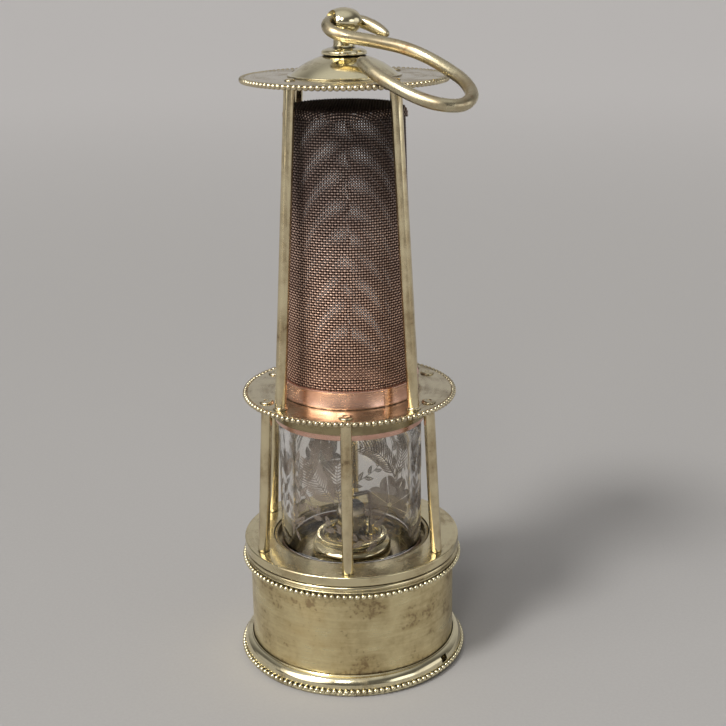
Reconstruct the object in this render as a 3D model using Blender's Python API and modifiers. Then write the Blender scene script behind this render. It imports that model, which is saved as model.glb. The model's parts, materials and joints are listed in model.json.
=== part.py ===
"""Brass miner's oil flame safety lamp: an oil vessel that screws into a cage with a glass and a wire gauze.

Units are metres. The lamp stands on z = 0, its axis is the Z axis and its front is -Y.
Angles round the lamp are measured from the front towards +X.
"""

import math

import bmesh
import bpy
from mathutils import Matrix, Vector

# Fineness of the turned pieces
RING_STEPS = 32
BURNER_STEPS = 24
SMALL_STEPS = 16
ROD_STEPS = 10
HOLE_STEPS = 10
MERGE = 0.00001

GAP = 0.0003  # clearance left between pieces that touch
THROUGH = 0.002  # how far a cutter runs past the face it cuts
BEAD_RADIUS = 0.00087  # beaded edges are modelled as a half-round rim of this radius

# Oil vessel
VESSEL_RADIUS = 0.03866
VESSEL_WALL = 0.00146
VESSEL_TOP = 0.0383
BASE_THICKNESS = 0.0015
PLATE_RADIUS = 0.0369  # base and top plates, inside the wall
SHELF_UNDERSIDE = 0.0366
BURNER_FLOOR = 0.040
NECK_RADIUS = 0.0336
NECK_INNER = 0.0315
NECK_TOP = 0.0439
BURNER_HOLE = 0.0113

# Foot moulding
FOOT_RADIUS = 0.04325
FOOT_BEAD_Z = 0.00194
FOOT_TOP = 0.0070
SLOT_ANGLE = math.radians(57)
SLOT_SIZE = (0.0035, 0.0024)
SLOT_Z = 0.0046

# Burner
BOSS_RADIUS = 0.0149
BOSS_TOP = 0.0449
BOSS_RIM = 0.0016  # set-in of the top edge from the barrel's widest point
BOSS_BULGE = 0.0010
BOSS_BULGE_Z = 0.0426
BOSS_BULGE_HALF = 0.0018
BOSS_FLOOR = 0.0015
BOSS_SPIGOT = 0.0010  # how far the spigot reaches below the vessel's top
BURNER_CAVITY = 0.0104
BURNER_RING_RADIUS = 0.0133
BURNER_RING_TOP = 0.0472
BURNER_RING_BULGE = 0.0007
WICK_TUBE_RADIUS = 0.0058
WICK_TUBE_WALL = 0.0005
WICK_TUBE_TOP = 0.0555
WICK_TUBE_BOTTOM = 0.030
WICK_TOP = 0.0595
WICK_BOTTOM = 0.009
WICK_DOME = 0.002

# Pricker: a wire that trims the wick, worked from under the vessel
PRICKER_RADIUS_FROM_AXIS = 0.0083
PRICKER_ANGLE = 120
PRICKER_WIRE = 0.0008
PRICKER_HEIGHT = 0.0615
PRICKER_REACH = 0.0072
PRICKER_BEND = 0.0018
PRICKER_BEND_STEPS = 4
PRICKER_KNOB_RADIUS = 0.0036
PRICKER_KNOB_TOP = 0.004
PRICKER_KNOB_BOTTOM = 0.001
PRICKER_KNOB_EDGE = 0.0004
PRICKER_WELL = 0.0050
PRICKER_WELL_TOP = 0.0080
PRICKER_WELL_WALL = 0.0006
GUIDE_INNER = 0.0012
GUIDE_RADIUS = 0.0017
GUIDE_TOP = 0.0436
BUSH_HEIGHT = 0.0010

# Cage: lower ring, glass, deck and hood
LOWER_RING_TOP = 0.0468
LOWER_RING_RADIUS = 0.0406
LOWER_BEAD_RADIUS = 0.0412
LOWER_BEAD_Z = 0.0398
LOWER_RING_INNER = 0.0296
LOWER_RING_EDGE = 0.0003
LOWER_SIDE_BOTTOM = 0.0430  # below its plain side the ring steps in and then flares out to the beads
LOWER_STEP = (0.0009, 0.0427)
LOWER_FLARE = (0.0005, 0.0411)
THREAD_BORE = 0.0340
SEAT_WALL_INNER = 0.02815
SEAT_INNER = 0.0245
SEAT_BELOW_RING = 0.0004
SEAT_BOTTOM = 0.0422
SEAT_FLOOR = 0.0434
GASKET_THICKNESS = 0.0010
GASKET_SET_IN = 0.0012
GLASS_RADIUS = 0.0265
GLASS_WALL = 0.0035
GLASS_BOTTOM = 0.0451
GLASS_TOP = 0.0949
DECK_TOP = 0.1042
DECK_THICKNESS = 0.0013
DECK_RADIUS = 0.0392
DECK_HOLE = 0.0228
DECK_FLAT = 0.0004  # how far inside the bead's centre the plate's flat faces end
COLLAR_RADIUS = 0.0290
COLLAR_BOTTOM = 0.0959
GLASS_CAP_RADIUS = 0.0277
GLASS_CAP_BOTTOM = 0.0935
GLASS_CAP_FLANGE = 0.0011
HOOD_UNDERSIDE = 0.2156
HOOD_TOP = 0.2172
HOOD_RADIUS = 0.0362
HOOD_HOLE = 0.0085
HOOD_FLAT = 0.0006

# Gauze chimney
GAUZE_COLLAR_RADIUS = 0.0255
GAUZE_COLLAR_TOP = 0.1108
GAUZE_COLLAR_WALL = 0.0010
GAUZE_COLLAR_FLOOR = 0.0015
GAUZE_COLLAR_SPIGOT = 0.0025  # how far the collar's spigot reaches below the deck
GAUZE_FOOT_RADIUS = 0.0236
GAUZE_HEAD_RADIUS = 0.02102
GAUZE_THICKNESS = 0.0008
GAUZE_BOTTOM = 0.1061
GAUZE_TOP = 0.2060
GAUZE_CAP_RADIUS = 0.0219
GAUZE_CAP_BOTTOM = 0.2033
GAUZE_CAP_TOP = 0.2073
GAUZE_CAP_EDGE = 0.0004

# Pillars
PILLAR_RADIUS = 0.00205
TENON_RADIUS = 0.0013
TENON_CLEARANCE = 0.0004
LOWER_PILLARS = 6
LOWER_PILLAR_FOOT = 0.0367
LOWER_PILLAR_HEAD = 0.0334
LOWER_TENON_DEPTH = 0.0036
SCREW_HEAD_RADIUS = 0.0024
SCREW_HEAD_HEIGHT = 0.0009
SCREW_HEAD_CROWN = 0.65  # the domed share of the head's height
SCREW_DEPTH = 0.0050
UPPER_PILLAR_ANGLES = (45, 135, 225, 315)
UPPER_PILLAR_FOOT = 0.03315
UPPER_PILLAR_HEAD = 0.0248
FOOT_COLLAR_RADIUS = 0.0027
FOOT_COLLAR_HEIGHT = 0.0005
FOOT_COLLAR_SLOPE = 0.0002
RIVET_RADIUS = 0.0019
RIVET_HEIGHT = 0.0009

# Dome, swivel and hook
DOME_RADIUS = 0.0197
DOME_TOP = 0.2251
DOME_WALL = 0.0010
DOME_FLANGE = 0.0010
DOME_FLANGE_HEIGHT = 0.0005
WASHER_RADIUS = 0.00785
WASHER_TOP = 0.2265
STEM_RADIUS = 0.0035
SPIGOT_RADIUS = 0.0022
EYE_Z = 0.2353
EYE_RADIUS = 0.0066
EYE_HALF_HEIGHT = 0.0046
EYE_HOLE = 0.0026
EYE_HOLE_HALF = 0.0022
EYE_MOUTH = 0.0046
EYE_FLAT = 0.0046
EYE_HOLE_STEPS = 12
NUT_RADIUS = 0.0050
NUT_BOTTOM = 0.2188
NUT_TOP = 0.2222
NUT_SIDES = 6
SPIGOT_PAST_NUT = 0.0008
SWIVEL_TURN = math.radians(25)  # how far the eye is turned on its stem at rest
HOOK_TILT = math.radians(23.4)  # how far the hook has dropped, until it leans on the hood's rim
HOOK_WIRE = 0.00215
HOOK_POINTS_PER_SPAN = 2


def arc(centre_r, centre_z, radius_r, radius_z, start, end, count):
    """Points (r, z) of an elliptic arc, angles in degrees, 0 outwards and 90 upwards."""
    points = []
    for step in range(count + 1):
        angle = math.radians(start + (end - start) * step / count)
        points.append((centre_r + radius_r * math.cos(angle), centre_z + radius_z * math.sin(angle)))
    return points


def round_the_lamp(radius, degrees):
    """(x, y) of a place at this distance from the axis."""
    angle = math.radians(degrees)
    return radius * math.sin(angle), -radius * math.cos(angle)


def make_material(name, colour, metallic, roughness, transmission=0.0):
    material = bpy.data.materials.new(name)
    material.use_nodes = True
    shader = material.node_tree.nodes["Principled BSDF"]
    shader.inputs["Base Color"].default_value = (*colour, 1.0)
    shader.inputs["Metallic"].default_value = metallic
    shader.inputs["Roughness"].default_value = roughness
    shader.inputs["Transmission Weight"].default_value = transmission
    material.diffuse_color = (*colour, 1.0)
    return material


def make_collection(name, in_render):
    collection = bpy.data.collections.new(name)
    collection.hide_render = not in_render
    bpy.context.scene.collection.children.link(collection)
    return collection


def make_object(name, data, finish, place=(0, 0, 0), turn=0.0, parent=None):
    """Adds one sub-part; turn is its rotation about the lamp's axis."""
    if data.materials:
        data.materials[0] = finish
    else:
        data.materials.append(finish)
    piece = bpy.data.objects.new(name, data)
    piece.location = place
    piece.rotation_euler = (0, 0, turn)
    piece.parent = parent
    parts.objects.link(piece)
    return piece


def make_empty(name, place, turn=0.0, parent=None):
    empty = bpy.data.objects.new(name, None)
    empty.location = place
    empty.rotation_euler = (0, 0, turn)
    empty.parent = parent
    parts.objects.link(empty)
    return empty


def add_screw(piece, steps):
    screw = piece.modifiers.new("turn", "SCREW")
    screw.axis = "Z"
    screw.angle = 2 * math.pi
    screw.steps = steps
    screw.render_steps = steps
    screw.use_merge_vertices = True
    screw.merge_threshold = MERGE
    screw.use_smooth_shade = True


def turned(name, profile, finish, steps=RING_STEPS, closed=True, **where):
    """A turned piece. The profile (r, z) runs down the outer side, and an open one ends on the axis."""
    count = len(profile)
    mesh = bpy.data.meshes.new(name)
    edges = [(i, i + 1) for i in range(count - 1)]
    if closed:
        edges.append((count - 1, 0))
    mesh.from_pydata([(r, 0, z) for r, z in profile], edges, [])
    piece = make_object(name, mesh, finish, **where)
    add_screw(piece, steps)
    return piece


def ring(name, inner, outer, bottom, top, finish, steps=RING_STEPS, **where):
    """A plain ring or tube of rectangular section."""
    profile = [(inner, top), (outer, top), (outer, bottom), (inner, bottom)]
    return turned(name, profile, finish, steps, **where)


def solid_mesh(piece):
    """The piece's mesh with its modifiers applied; the piece itself is removed."""
    graph = bpy.context.evaluated_depsgraph_get()
    mesh = bpy.data.meshes.new_from_object(piece.evaluated_get(graph))
    bpy.data.objects.remove(piece)
    return mesh


def leaning_mesh(piece, run, rise):
    """The piece's mesh leaned towards the lamp's axis, its ends kept level."""
    mesh = solid_mesh(piece)
    mesh.transform(Matrix.Shear("XY", 4, (0, run / rise)))
    return mesh


def cut(piece, name, build):
    """Cuts the piece with a hidden mesh that build(bm) makes in world space."""
    mesh = bpy.data.meshes.new(name)
    bm = bmesh.new()
    build(bm)
    bm.to_mesh(mesh)
    bm.free()
    cutter = bpy.data.objects.new(name, mesh)
    cutter.hide_render = True
    cutter.display_type = "WIRE"
    cutters.objects.link(cutter)
    boolean = piece.modifiers.new(name, "BOOLEAN")
    boolean.operation = "DIFFERENCE"
    boolean.solver = "EXACT"
    boolean.object = cutter
    return cutter


def add_drill(bm, x, y, bottom, top, radius):
    """A round cutter along Z."""
    bmesh.ops.create_cone(
        bm,
        cap_ends=True,
        segments=HOLE_STEPS,
        radius1=radius,
        radius2=radius,
        depth=top - bottom,
        matrix=Matrix.Translation((x, y, (bottom + top) / 2)),
    )


def pricker_place():
    return round_the_lamp(PRICKER_RADIUS_FROM_AXIS, PRICKER_ANGLE)


def lower_angles():
    return [index * 360 / LOWER_PILLARS for index in range(LOWER_PILLARS)]


def lower_lean():
    """(run, rise) of a lower pillar between the lower ring and the deck."""
    return LOWER_PILLAR_FOOT - LOWER_PILLAR_HEAD, DECK_TOP - DECK_THICKNESS - LOWER_RING_TOP


def upper_lean():
    """(run, rise) of an upper pillar between the deck and the hood."""
    return UPPER_PILLAR_FOOT - UPPER_PILLAR_HEAD, HOOD_UNDERSIDE - DECK_TOP


def make_vessel():
    ring("vessel_shell", VESSEL_RADIUS - VESSEL_WALL, VESSEL_RADIUS, 0, VESSEL_TOP, brass)

    base = turned(
        "vessel_base",
        [(0, BASE_THICKNESS), (PLATE_RADIUS, BASE_THICKNESS), (PLATE_RADIUS, 0), (0, 0)],
        brass,
        closed=False,
    )
    well_hole = PRICKER_WELL + GAP
    cut(
        base,
        "pricker_well_hole",
        lambda bm: add_drill(bm, *pricker_place(), -THROUGH, BASE_THICKNESS + THROUGH, well_hole),
    )

    turned(
        "vessel_top",
        [
            (BURNER_HOLE, BURNER_FLOOR),
            (NECK_RADIUS, BURNER_FLOOR),
            (NECK_RADIUS, VESSEL_TOP),
            (PLATE_RADIUS, VESSEL_TOP),
            (PLATE_RADIUS, SHELF_UNDERSIDE),
            (BURNER_HOLE, SHELF_UNDERSIDE),
        ],
        brass,
    )
    ring("thread_neck", NECK_INNER, NECK_RADIUS, BURNER_FLOOR + GAP, NECK_TOP, brass)


def make_foot():
    inner = VESSEL_RADIUS + GAP
    bead_centre = FOOT_RADIUS - BEAD_RADIUS
    bead_top = FOOT_BEAD_Z + BEAD_RADIUS
    profile = [(inner, FOOT_TOP)]
    profile += arc(inner, bead_top, bead_centre - inner, FOOT_TOP - bead_top, 85, 0, 4)
    profile += arc(bead_centre, FOOT_BEAD_Z, BEAD_RADIUS, BEAD_RADIUS, 60, -60, 3)
    profile += [(bead_centre, 0), (inner, 0)]
    foot = turned("foot_moulding", profile, brass)

    def slot(bm):
        """A small slot through the moulding, to the right of the front."""
        width, height = SLOT_SIZE
        depth = FOOT_RADIUS - VESSEL_RADIUS
        place = Matrix.Translation((0, -FOOT_RADIUS + depth / 2, SLOT_Z))
        place = Matrix.Rotation(SLOT_ANGLE, 4, "Z") @ place
        bmesh.ops.create_cube(bm, size=1, matrix=place @ Matrix.Diagonal((width, 2 * depth, height, 1)))

    cut(foot, "foot_slot", slot)


def make_burner():
    spigot = BURNER_HOLE - GAP
    spigot_bottom = SHELF_UNDERSIDE - BOSS_SPIGOT
    floor = BURNER_FLOOR + GAP + BOSS_FLOOR
    waist = BOSS_RADIUS - BOSS_BULGE
    profile = [(BURNER_CAVITY, BOSS_TOP), (BOSS_RADIUS - BOSS_RIM, BOSS_TOP)]
    profile += arc(waist, BOSS_BULGE_Z, BOSS_BULGE, BOSS_BULGE_HALF, 60, -60, 4)
    profile += [
        (waist, BURNER_FLOOR + GAP),
        (spigot, BURNER_FLOOR + GAP),
        (spigot, spigot_bottom),
        (WICK_TUBE_RADIUS + GAP, spigot_bottom),
        (WICK_TUBE_RADIUS + GAP, floor),
        (BURNER_CAVITY, floor),
    ]
    boss = turned("burner_boss", profile, brass, BURNER_STEPS)
    guide_hole = GUIDE_RADIUS + GAP
    cut(
        boss,
        "guide_hole",
        lambda bm: add_drill(bm, *pricker_place(), spigot_bottom - THROUGH, floor + THROUGH, guide_hole),
    )

    middle = (BOSS_TOP + GAP + BURNER_RING_TOP) / 2
    half = (BURNER_RING_TOP - BOSS_TOP - GAP) / 2
    profile = [(BURNER_CAVITY, BURNER_RING_TOP)]
    profile += arc(BURNER_RING_RADIUS - BURNER_RING_BULGE, middle, BURNER_RING_BULGE, half, 75, -75, 4)
    profile += [(BURNER_CAVITY, BOSS_TOP + GAP)]
    turned("burner_ring", profile, brass, BURNER_STEPS)

    inner = WICK_TUBE_RADIUS - WICK_TUBE_WALL
    ring("wick_tube", inner, WICK_TUBE_RADIUS, WICK_TUBE_BOTTOM, WICK_TUBE_TOP, brass, SMALL_STEPS)

    radius = inner - GAP
    profile = arc(0, WICK_TOP - WICK_DOME, radius, WICK_DOME, 90, 0, 3)
    profile += [(radius, WICK_BOTTOM), (0, WICK_BOTTOM)]
    turned("wick", profile, cotton, SMALL_STEPS, closed=False)


def make_pricker():
    well_inner = PRICKER_WELL - PRICKER_WELL_WALL
    well_ceiling = PRICKER_WELL_TOP - PRICKER_WELL_WALL
    turned(
        "pricker_guide",
        [
            (GUIDE_INNER, GUIDE_TOP),
            (GUIDE_RADIUS, GUIDE_TOP),
            (GUIDE_RADIUS, PRICKER_WELL_TOP),
            (PRICKER_WELL, PRICKER_WELL_TOP),
            (PRICKER_WELL, GAP),
            (well_inner, GAP),
            (well_inner, well_ceiling),
            (GUIDE_INNER, well_ceiling),
        ],
        brass,
        SMALL_STEPS,
        place=(*pricker_place(), 0),
    )
    pricker_body = make_empty("pricker_axis", (*pricker_place(), 0))
    ring(
        "pricker_bush",
        PRICKER_WIRE + GAP,
        GUIDE_RADIUS,
        GUIDE_TOP + GAP,
        GUIDE_TOP + GAP + BUSH_HEIGHT,
        brass,
        ROD_STEPS,
        parent=pricker_body,
    )

    # The wire rises beside the wick tube and bends over the top of the wick, towards the lamp's axis.
    bend = []
    for step in range(PRICKER_BEND_STEPS + 1):
        angle = math.radians(90 * step / PRICKER_BEND_STEPS)
        along = PRICKER_BEND * (1 - math.cos(angle))
        bend.append((along, PRICKER_HEIGHT - PRICKER_BEND + PRICKER_BEND * math.sin(angle)))
    route = [(0, (PRICKER_KNOB_TOP + PRICKER_KNOB_BOTTOM) / 2)] + bend + [(PRICKER_REACH, PRICKER_HEIGHT)]
    wire = bpy.data.curves.new("pricker", "CURVE")
    wire.dimensions = "3D"
    wire.bevel_depth = PRICKER_WIRE
    wire.bevel_resolution = 2
    wire.use_fill_caps = True
    spline = wire.splines.new("POLY")
    spline.points.add(len(route) - 1)
    towards_x, towards_y = round_the_lamp(-1, PRICKER_ANGLE)
    for point, (along, height) in zip(spline.points, route):
        point.co = (along * towards_x, along * towards_y, height, 1)
    curve = bpy.data.objects.new("pricker_wire", wire)
    parts.objects.link(curve)
    mesh = welded_mesh(curve)
    pricker = make_object("pricker", mesh, steel, parent=pricker_body)

    knob_profile = [
        (0, PRICKER_KNOB_TOP),
        (PRICKER_KNOB_RADIUS - PRICKER_KNOB_EDGE, PRICKER_KNOB_TOP),
        (PRICKER_KNOB_RADIUS, PRICKER_KNOB_TOP - PRICKER_KNOB_EDGE),
        (PRICKER_KNOB_RADIUS, PRICKER_KNOB_BOTTOM + PRICKER_KNOB_EDGE),
        (PRICKER_KNOB_RADIUS - PRICKER_KNOB_EDGE, PRICKER_KNOB_BOTTOM),
        (0, PRICKER_KNOB_BOTTOM),
    ]
    knob = turned("pricker_knob", knob_profile, steel, ROD_STEPS, closed=False)
    join(pricker, knob)


def welded_mesh(curve):
    """A curve object's mesh with its caps joined on; the curve is removed."""
    mesh = solid_mesh(curve)
    bm = bmesh.new()
    bm.from_mesh(mesh)
    bmesh.ops.remove_doubles(bm, verts=bm.verts, dist=MERGE)
    bm.to_mesh(mesh)
    bm.free()
    return mesh


def join(piece, other):
    """Joins another shape onto the piece; both are modelled about the piece's own origin."""
    parts.objects.unlink(other)
    cutters.objects.link(other)
    other.parent = piece
    other.hide_render = True
    other.display_type = "WIRE"
    boolean = piece.modifiers.new("join", "BOOLEAN")
    boolean.operation = "UNION"
    boolean.solver = "EXACT"
    boolean.object = other


def make_lower_ring():
    bead_centre = LOWER_BEAD_RADIUS - BEAD_RADIUS
    underside = LOWER_BEAD_Z - GAP
    profile = [
        (LOWER_RING_INNER, LOWER_RING_TOP),
        (LOWER_RING_RADIUS - LOWER_RING_EDGE, LOWER_RING_TOP),
        (LOWER_RING_RADIUS, LOWER_RING_TOP - LOWER_RING_EDGE),
        (LOWER_RING_RADIUS, LOWER_SIDE_BOTTOM),
    ]
    profile += [(LOWER_RING_RADIUS - inset, height) for inset, height in (LOWER_STEP, LOWER_FLARE)]
    profile += arc(bead_centre, LOWER_BEAD_Z, BEAD_RADIUS, BEAD_RADIUS, 60, -90, 4)
    profile += [
        (VESSEL_RADIUS + 2 * GAP, LOWER_BEAD_Z - BEAD_RADIUS),
        (VESSEL_RADIUS + 2 * GAP, underside),
        (THREAD_BORE, underside),
        (THREAD_BORE, NECK_TOP + 2 * GAP),
        (LOWER_RING_INNER, NECK_TOP + 2 * GAP),
    ]
    lower_ring = turned("lower_ring", profile, brass, parent=cage)

    def tenon_holes(bm):
        for degrees in lower_angles():
            x, y = round_the_lamp(LOWER_PILLAR_FOOT, degrees)
            bottom = LOWER_RING_TOP - LOWER_TENON_DEPTH - 2 * GAP
            add_drill(bm, x, y, bottom, LOWER_RING_TOP + THROUGH, TENON_RADIUS + TENON_CLEARANCE)

    cut(lower_ring, "lower_tenon_holes", tenon_holes)

    inner, outer = THREAD_BORE + GAP, VESSEL_RADIUS - GAP
    ring("seal_washer", inner, outer, VESSEL_TOP + GAP, underside - GAP, leather, parent=washer)


def make_glass():
    seat_outer = LOWER_RING_INNER - GAP
    seat_top = LOWER_RING_TOP - SEAT_BELOW_RING
    turned(
        "glass_seat_ring",
        [
            (SEAT_WALL_INNER, seat_top),
            (seat_outer, seat_top),
            (seat_outer, SEAT_BOTTOM),
            (SEAT_INNER, SEAT_BOTTOM),
            (SEAT_INNER, SEAT_FLOOR),
            (SEAT_WALL_INNER, SEAT_FLOOR),
        ],
        brass,
        parent=cage,
    )
    inner, outer = GLASS_RADIUS - GLASS_WALL, GLASS_RADIUS
    upper_gasket_bottom = GLASS_TOP + GAP
    upper_gasket_top = upper_gasket_bottom + GASKET_THICKNESS
    gasket_inner = inner + GASKET_SET_IN
    low, high = SEAT_FLOOR + GAP, GLASS_BOTTOM - GAP
    ring("glass_gasket_lower", gasket_inner, outer, low, high, leather, parent=cage)
    ring("glass_cylinder", inner, outer, GLASS_BOTTOM, GLASS_TOP, glass, parent=cage)
    ring("glass_gasket_upper", inner, outer, upper_gasket_bottom, upper_gasket_top, leather, parent=cage)

    flange_bottom = upper_gasket_top + GAP
    flange_top = flange_bottom + GLASS_CAP_FLANGE
    turned(
        "glass_cap_ring",
        [
            (inner, flange_top),
            (GLASS_CAP_RADIUS, flange_top),
            (GLASS_CAP_RADIUS, GLASS_CAP_BOTTOM),
            (GLASS_RADIUS + GAP, GLASS_CAP_BOTTOM),
            (GLASS_RADIUS + GAP, flange_bottom),
            (inner, flange_bottom),
        ],
        copper,
        parent=cage,
    )
    inner = GLASS_CAP_RADIUS + GAP
    collar_top = DECK_TOP - DECK_THICKNESS - GAP
    ring("glass_collar", inner, COLLAR_RADIUS, COLLAR_BOTTOM, collar_top, brass, parent=cage)


def make_deck():
    bead_centre = DECK_RADIUS - BEAD_RADIUS
    underside = DECK_TOP - DECK_THICKNESS
    middle = (DECK_TOP + underside) / 2
    profile = [(DECK_HOLE, DECK_TOP), (bead_centre - DECK_FLAT, DECK_TOP)]
    profile += arc(bead_centre, middle, BEAD_RADIUS, BEAD_RADIUS, 90, -90, 5)
    profile += [(bead_centre - DECK_FLAT, underside), (DECK_HOLE, underside)]
    deck = turned("deck_plate", profile, brass, parent=cage)

    def deck_holes(bm):
        places = [(LOWER_PILLAR_HEAD, degrees) for degrees in lower_angles()]
        places += [(UPPER_PILLAR_FOOT, degrees) for degrees in UPPER_PILLAR_ANGLES]
        for radius, degrees in places:
            x, y = round_the_lamp(radius, degrees)
            add_drill(bm, x, y, underside - THROUGH, DECK_TOP + THROUGH, TENON_RADIUS + TENON_CLEARANCE)

    cut(deck, "deck_holes", deck_holes)


def make_lower_pillars():
    run, rise = lower_lean()
    length = rise - 2 * GAP
    bore = TENON_RADIUS + TENON_CLEARANCE - GAP
    bore_bottom = length - SCREW_DEPTH
    profile = [
        (0, bore_bottom),
        (bore, bore_bottom),
        (bore, length),
        (PILLAR_RADIUS, length),
        (PILLAR_RADIUS, 0),
        (TENON_RADIUS, 0),
        (TENON_RADIUS, -LOWER_TENON_DEPTH),
        (0, -LOWER_TENON_DEPTH),
    ]
    pillar_mesh = leaning_mesh(turned("pillar_shape", profile, brass, ROD_STEPS, closed=False), run, rise)

    shank = bore - GAP
    reach = SCREW_DEPTH + DECK_THICKNESS
    crown = SCREW_HEAD_HEIGHT * SCREW_HEAD_CROWN
    profile = arc(0, GAP + SCREW_HEAD_HEIGHT - crown, SCREW_HEAD_RADIUS, crown, 90, 0, 3)
    profile += [(SCREW_HEAD_RADIUS, GAP), (shank, GAP), (shank, GAP - reach), (0, GAP - reach)]
    screw_mesh = leaning_mesh(turned("screw_shape", profile, brass, ROD_STEPS, closed=False), run, rise)

    for index, degrees in enumerate(lower_angles(), start=1):
        turn = math.radians(degrees)
        x, y = round_the_lamp(LOWER_PILLAR_FOOT, degrees)
        make_object(f"lower_pillar_{index}", pillar_mesh, brass, (x, y, LOWER_RING_TOP + GAP), turn, cage)
        x, y = round_the_lamp(LOWER_PILLAR_HEAD, degrees)
        make_object(f"deck_screw_{index}", screw_mesh, brass, (x, y, DECK_TOP), turn, cage)


def make_upper_pillars():
    run, rise = upper_lean()
    length = rise - 2 * GAP
    tenon_top = HOOD_TOP - DECK_TOP
    profile = arc(0, tenon_top, RIVET_RADIUS, RIVET_HEIGHT, 90, 0, 3)
    profile += [
        (TENON_RADIUS, tenon_top),
        (TENON_RADIUS, length),
        (PILLAR_RADIUS, length),
        (PILLAR_RADIUS, FOOT_COLLAR_HEIGHT + FOOT_COLLAR_SLOPE),
        (FOOT_COLLAR_RADIUS, FOOT_COLLAR_HEIGHT),
        (FOOT_COLLAR_RADIUS, 0),
        (TENON_RADIUS, 0),
        (TENON_RADIUS, -DECK_THICKNESS - GAP),
        (0, -DECK_THICKNESS - GAP),
    ]
    mesh = leaning_mesh(turned("upper_shape", profile, brass, ROD_STEPS, closed=False), run, rise)
    for index, degrees in enumerate(UPPER_PILLAR_ANGLES, start=1):
        x, y = round_the_lamp(UPPER_PILLAR_FOOT, degrees)
        turn = math.radians(degrees)
        make_object(f"upper_pillar_{index}", mesh, brass, (x, y, DECK_TOP + GAP), turn, cage)


def make_gauze():
    spigot = DECK_HOLE - GAP
    spigot_bottom = DECK_TOP - DECK_THICKNESS - GAUZE_COLLAR_SPIGOT
    floor = DECK_TOP + GAUZE_COLLAR_FLOOR
    turned(
        "gauze_collar",
        [
            (GAUZE_FOOT_RADIUS + GAP, GAUZE_COLLAR_TOP),
            (GAUZE_COLLAR_RADIUS, GAUZE_COLLAR_TOP),
            (GAUZE_COLLAR_RADIUS, DECK_TOP + GAP),
            (spigot, DECK_TOP + GAP),
            (spigot, spigot_bottom),
            (spigot - GAUZE_COLLAR_WALL, spigot_bottom),
            (spigot - GAUZE_COLLAR_WALL, floor),
            (GAUZE_FOOT_RADIUS + GAP, floor),
        ],
        copper,
        parent=cage,
    )
    turned(
        "gauze_cylinder",
        [
            (GAUZE_HEAD_RADIUS - GAUZE_THICKNESS, GAUZE_TOP),
            (GAUZE_HEAD_RADIUS, GAUZE_TOP),
            (GAUZE_FOOT_RADIUS, GAUZE_BOTTOM),
            (GAUZE_FOOT_RADIUS - GAUZE_THICKNESS, GAUZE_BOTTOM),
        ],
        gauze,
        parent=cage,
    )
    turned(
        "gauze_cap",
        [
            (0, GAUZE_CAP_TOP),
            (GAUZE_CAP_RADIUS - GAUZE_CAP_EDGE, GAUZE_CAP_TOP),
            (GAUZE_CAP_RADIUS, GAUZE_CAP_TOP - GAUZE_CAP_EDGE),
            (GAUZE_CAP_RADIUS, GAUZE_CAP_BOTTOM),
            (GAUZE_HEAD_RADIUS + GAP, GAUZE_CAP_BOTTOM),
            (GAUZE_HEAD_RADIUS + GAP, GAUZE_TOP + GAP),
            (0, GAUZE_TOP + GAP),
        ],
        gauze,
        closed=False,
        parent=cage,
    )


def make_hood():
    bead_centre = HOOD_RADIUS - BEAD_RADIUS
    middle = (HOOD_TOP + HOOD_UNDERSIDE) / 2
    profile = [(HOOD_HOLE, HOOD_TOP), (bead_centre - HOOD_FLAT, HOOD_TOP)]
    profile += arc(bead_centre, middle, BEAD_RADIUS, BEAD_RADIUS, 90, -90, 5)
    profile += [(bead_centre - HOOD_FLAT, HOOD_UNDERSIDE), (HOOD_HOLE, HOOD_UNDERSIDE)]
    hood = turned("hood_plate", profile, brass, parent=cage)

    def rivet_holes(bm):
        for degrees in UPPER_PILLAR_ANGLES:
            x, y = round_the_lamp(UPPER_PILLAR_HEAD, degrees)
            add_drill(bm, x, y, HOOD_UNDERSIDE - THROUGH, HOOD_TOP + THROUGH, TENON_RADIUS + TENON_CLEARANCE)

    cut(hood, "rivet_holes", rivet_holes)

    # The dome is part of a sphere through its rim and its crown, with a narrow flange round the foot.
    rim = DOME_RADIUS - DOME_FLANGE
    bottom = HOOD_TOP + GAP
    flange_top = bottom + DOME_FLANGE_HEIGHT
    height = DOME_TOP - flange_top
    sphere = (rim * rim + height * height) / (2 * height)
    centre = DOME_TOP - sphere
    hole = SPIGOT_RADIUS + GAP

    def dome_arc(radius, from_r, to_r, count):
        start = math.degrees(math.acos(from_r / radius))
        end = math.degrees(math.acos(to_r / radius))
        return arc(0, centre, radius, radius, start, end, count)

    inner = sphere - DOME_WALL
    inner_rim = math.sqrt(inner * inner - (bottom - centre) ** 2)
    profile = dome_arc(sphere, hole, rim, 6)
    profile += [(DOME_RADIUS, flange_top), (DOME_RADIUS, bottom)]
    profile += dome_arc(inner, inner_rim, hole, 4)
    turned("hood_dome", profile, brass, parent=cage)

    ring("swivel_washer", hole, WASHER_RADIUS, DOME_TOP + GAP, WASHER_TOP, brass, SMALL_STEPS, parent=cage)


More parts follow.
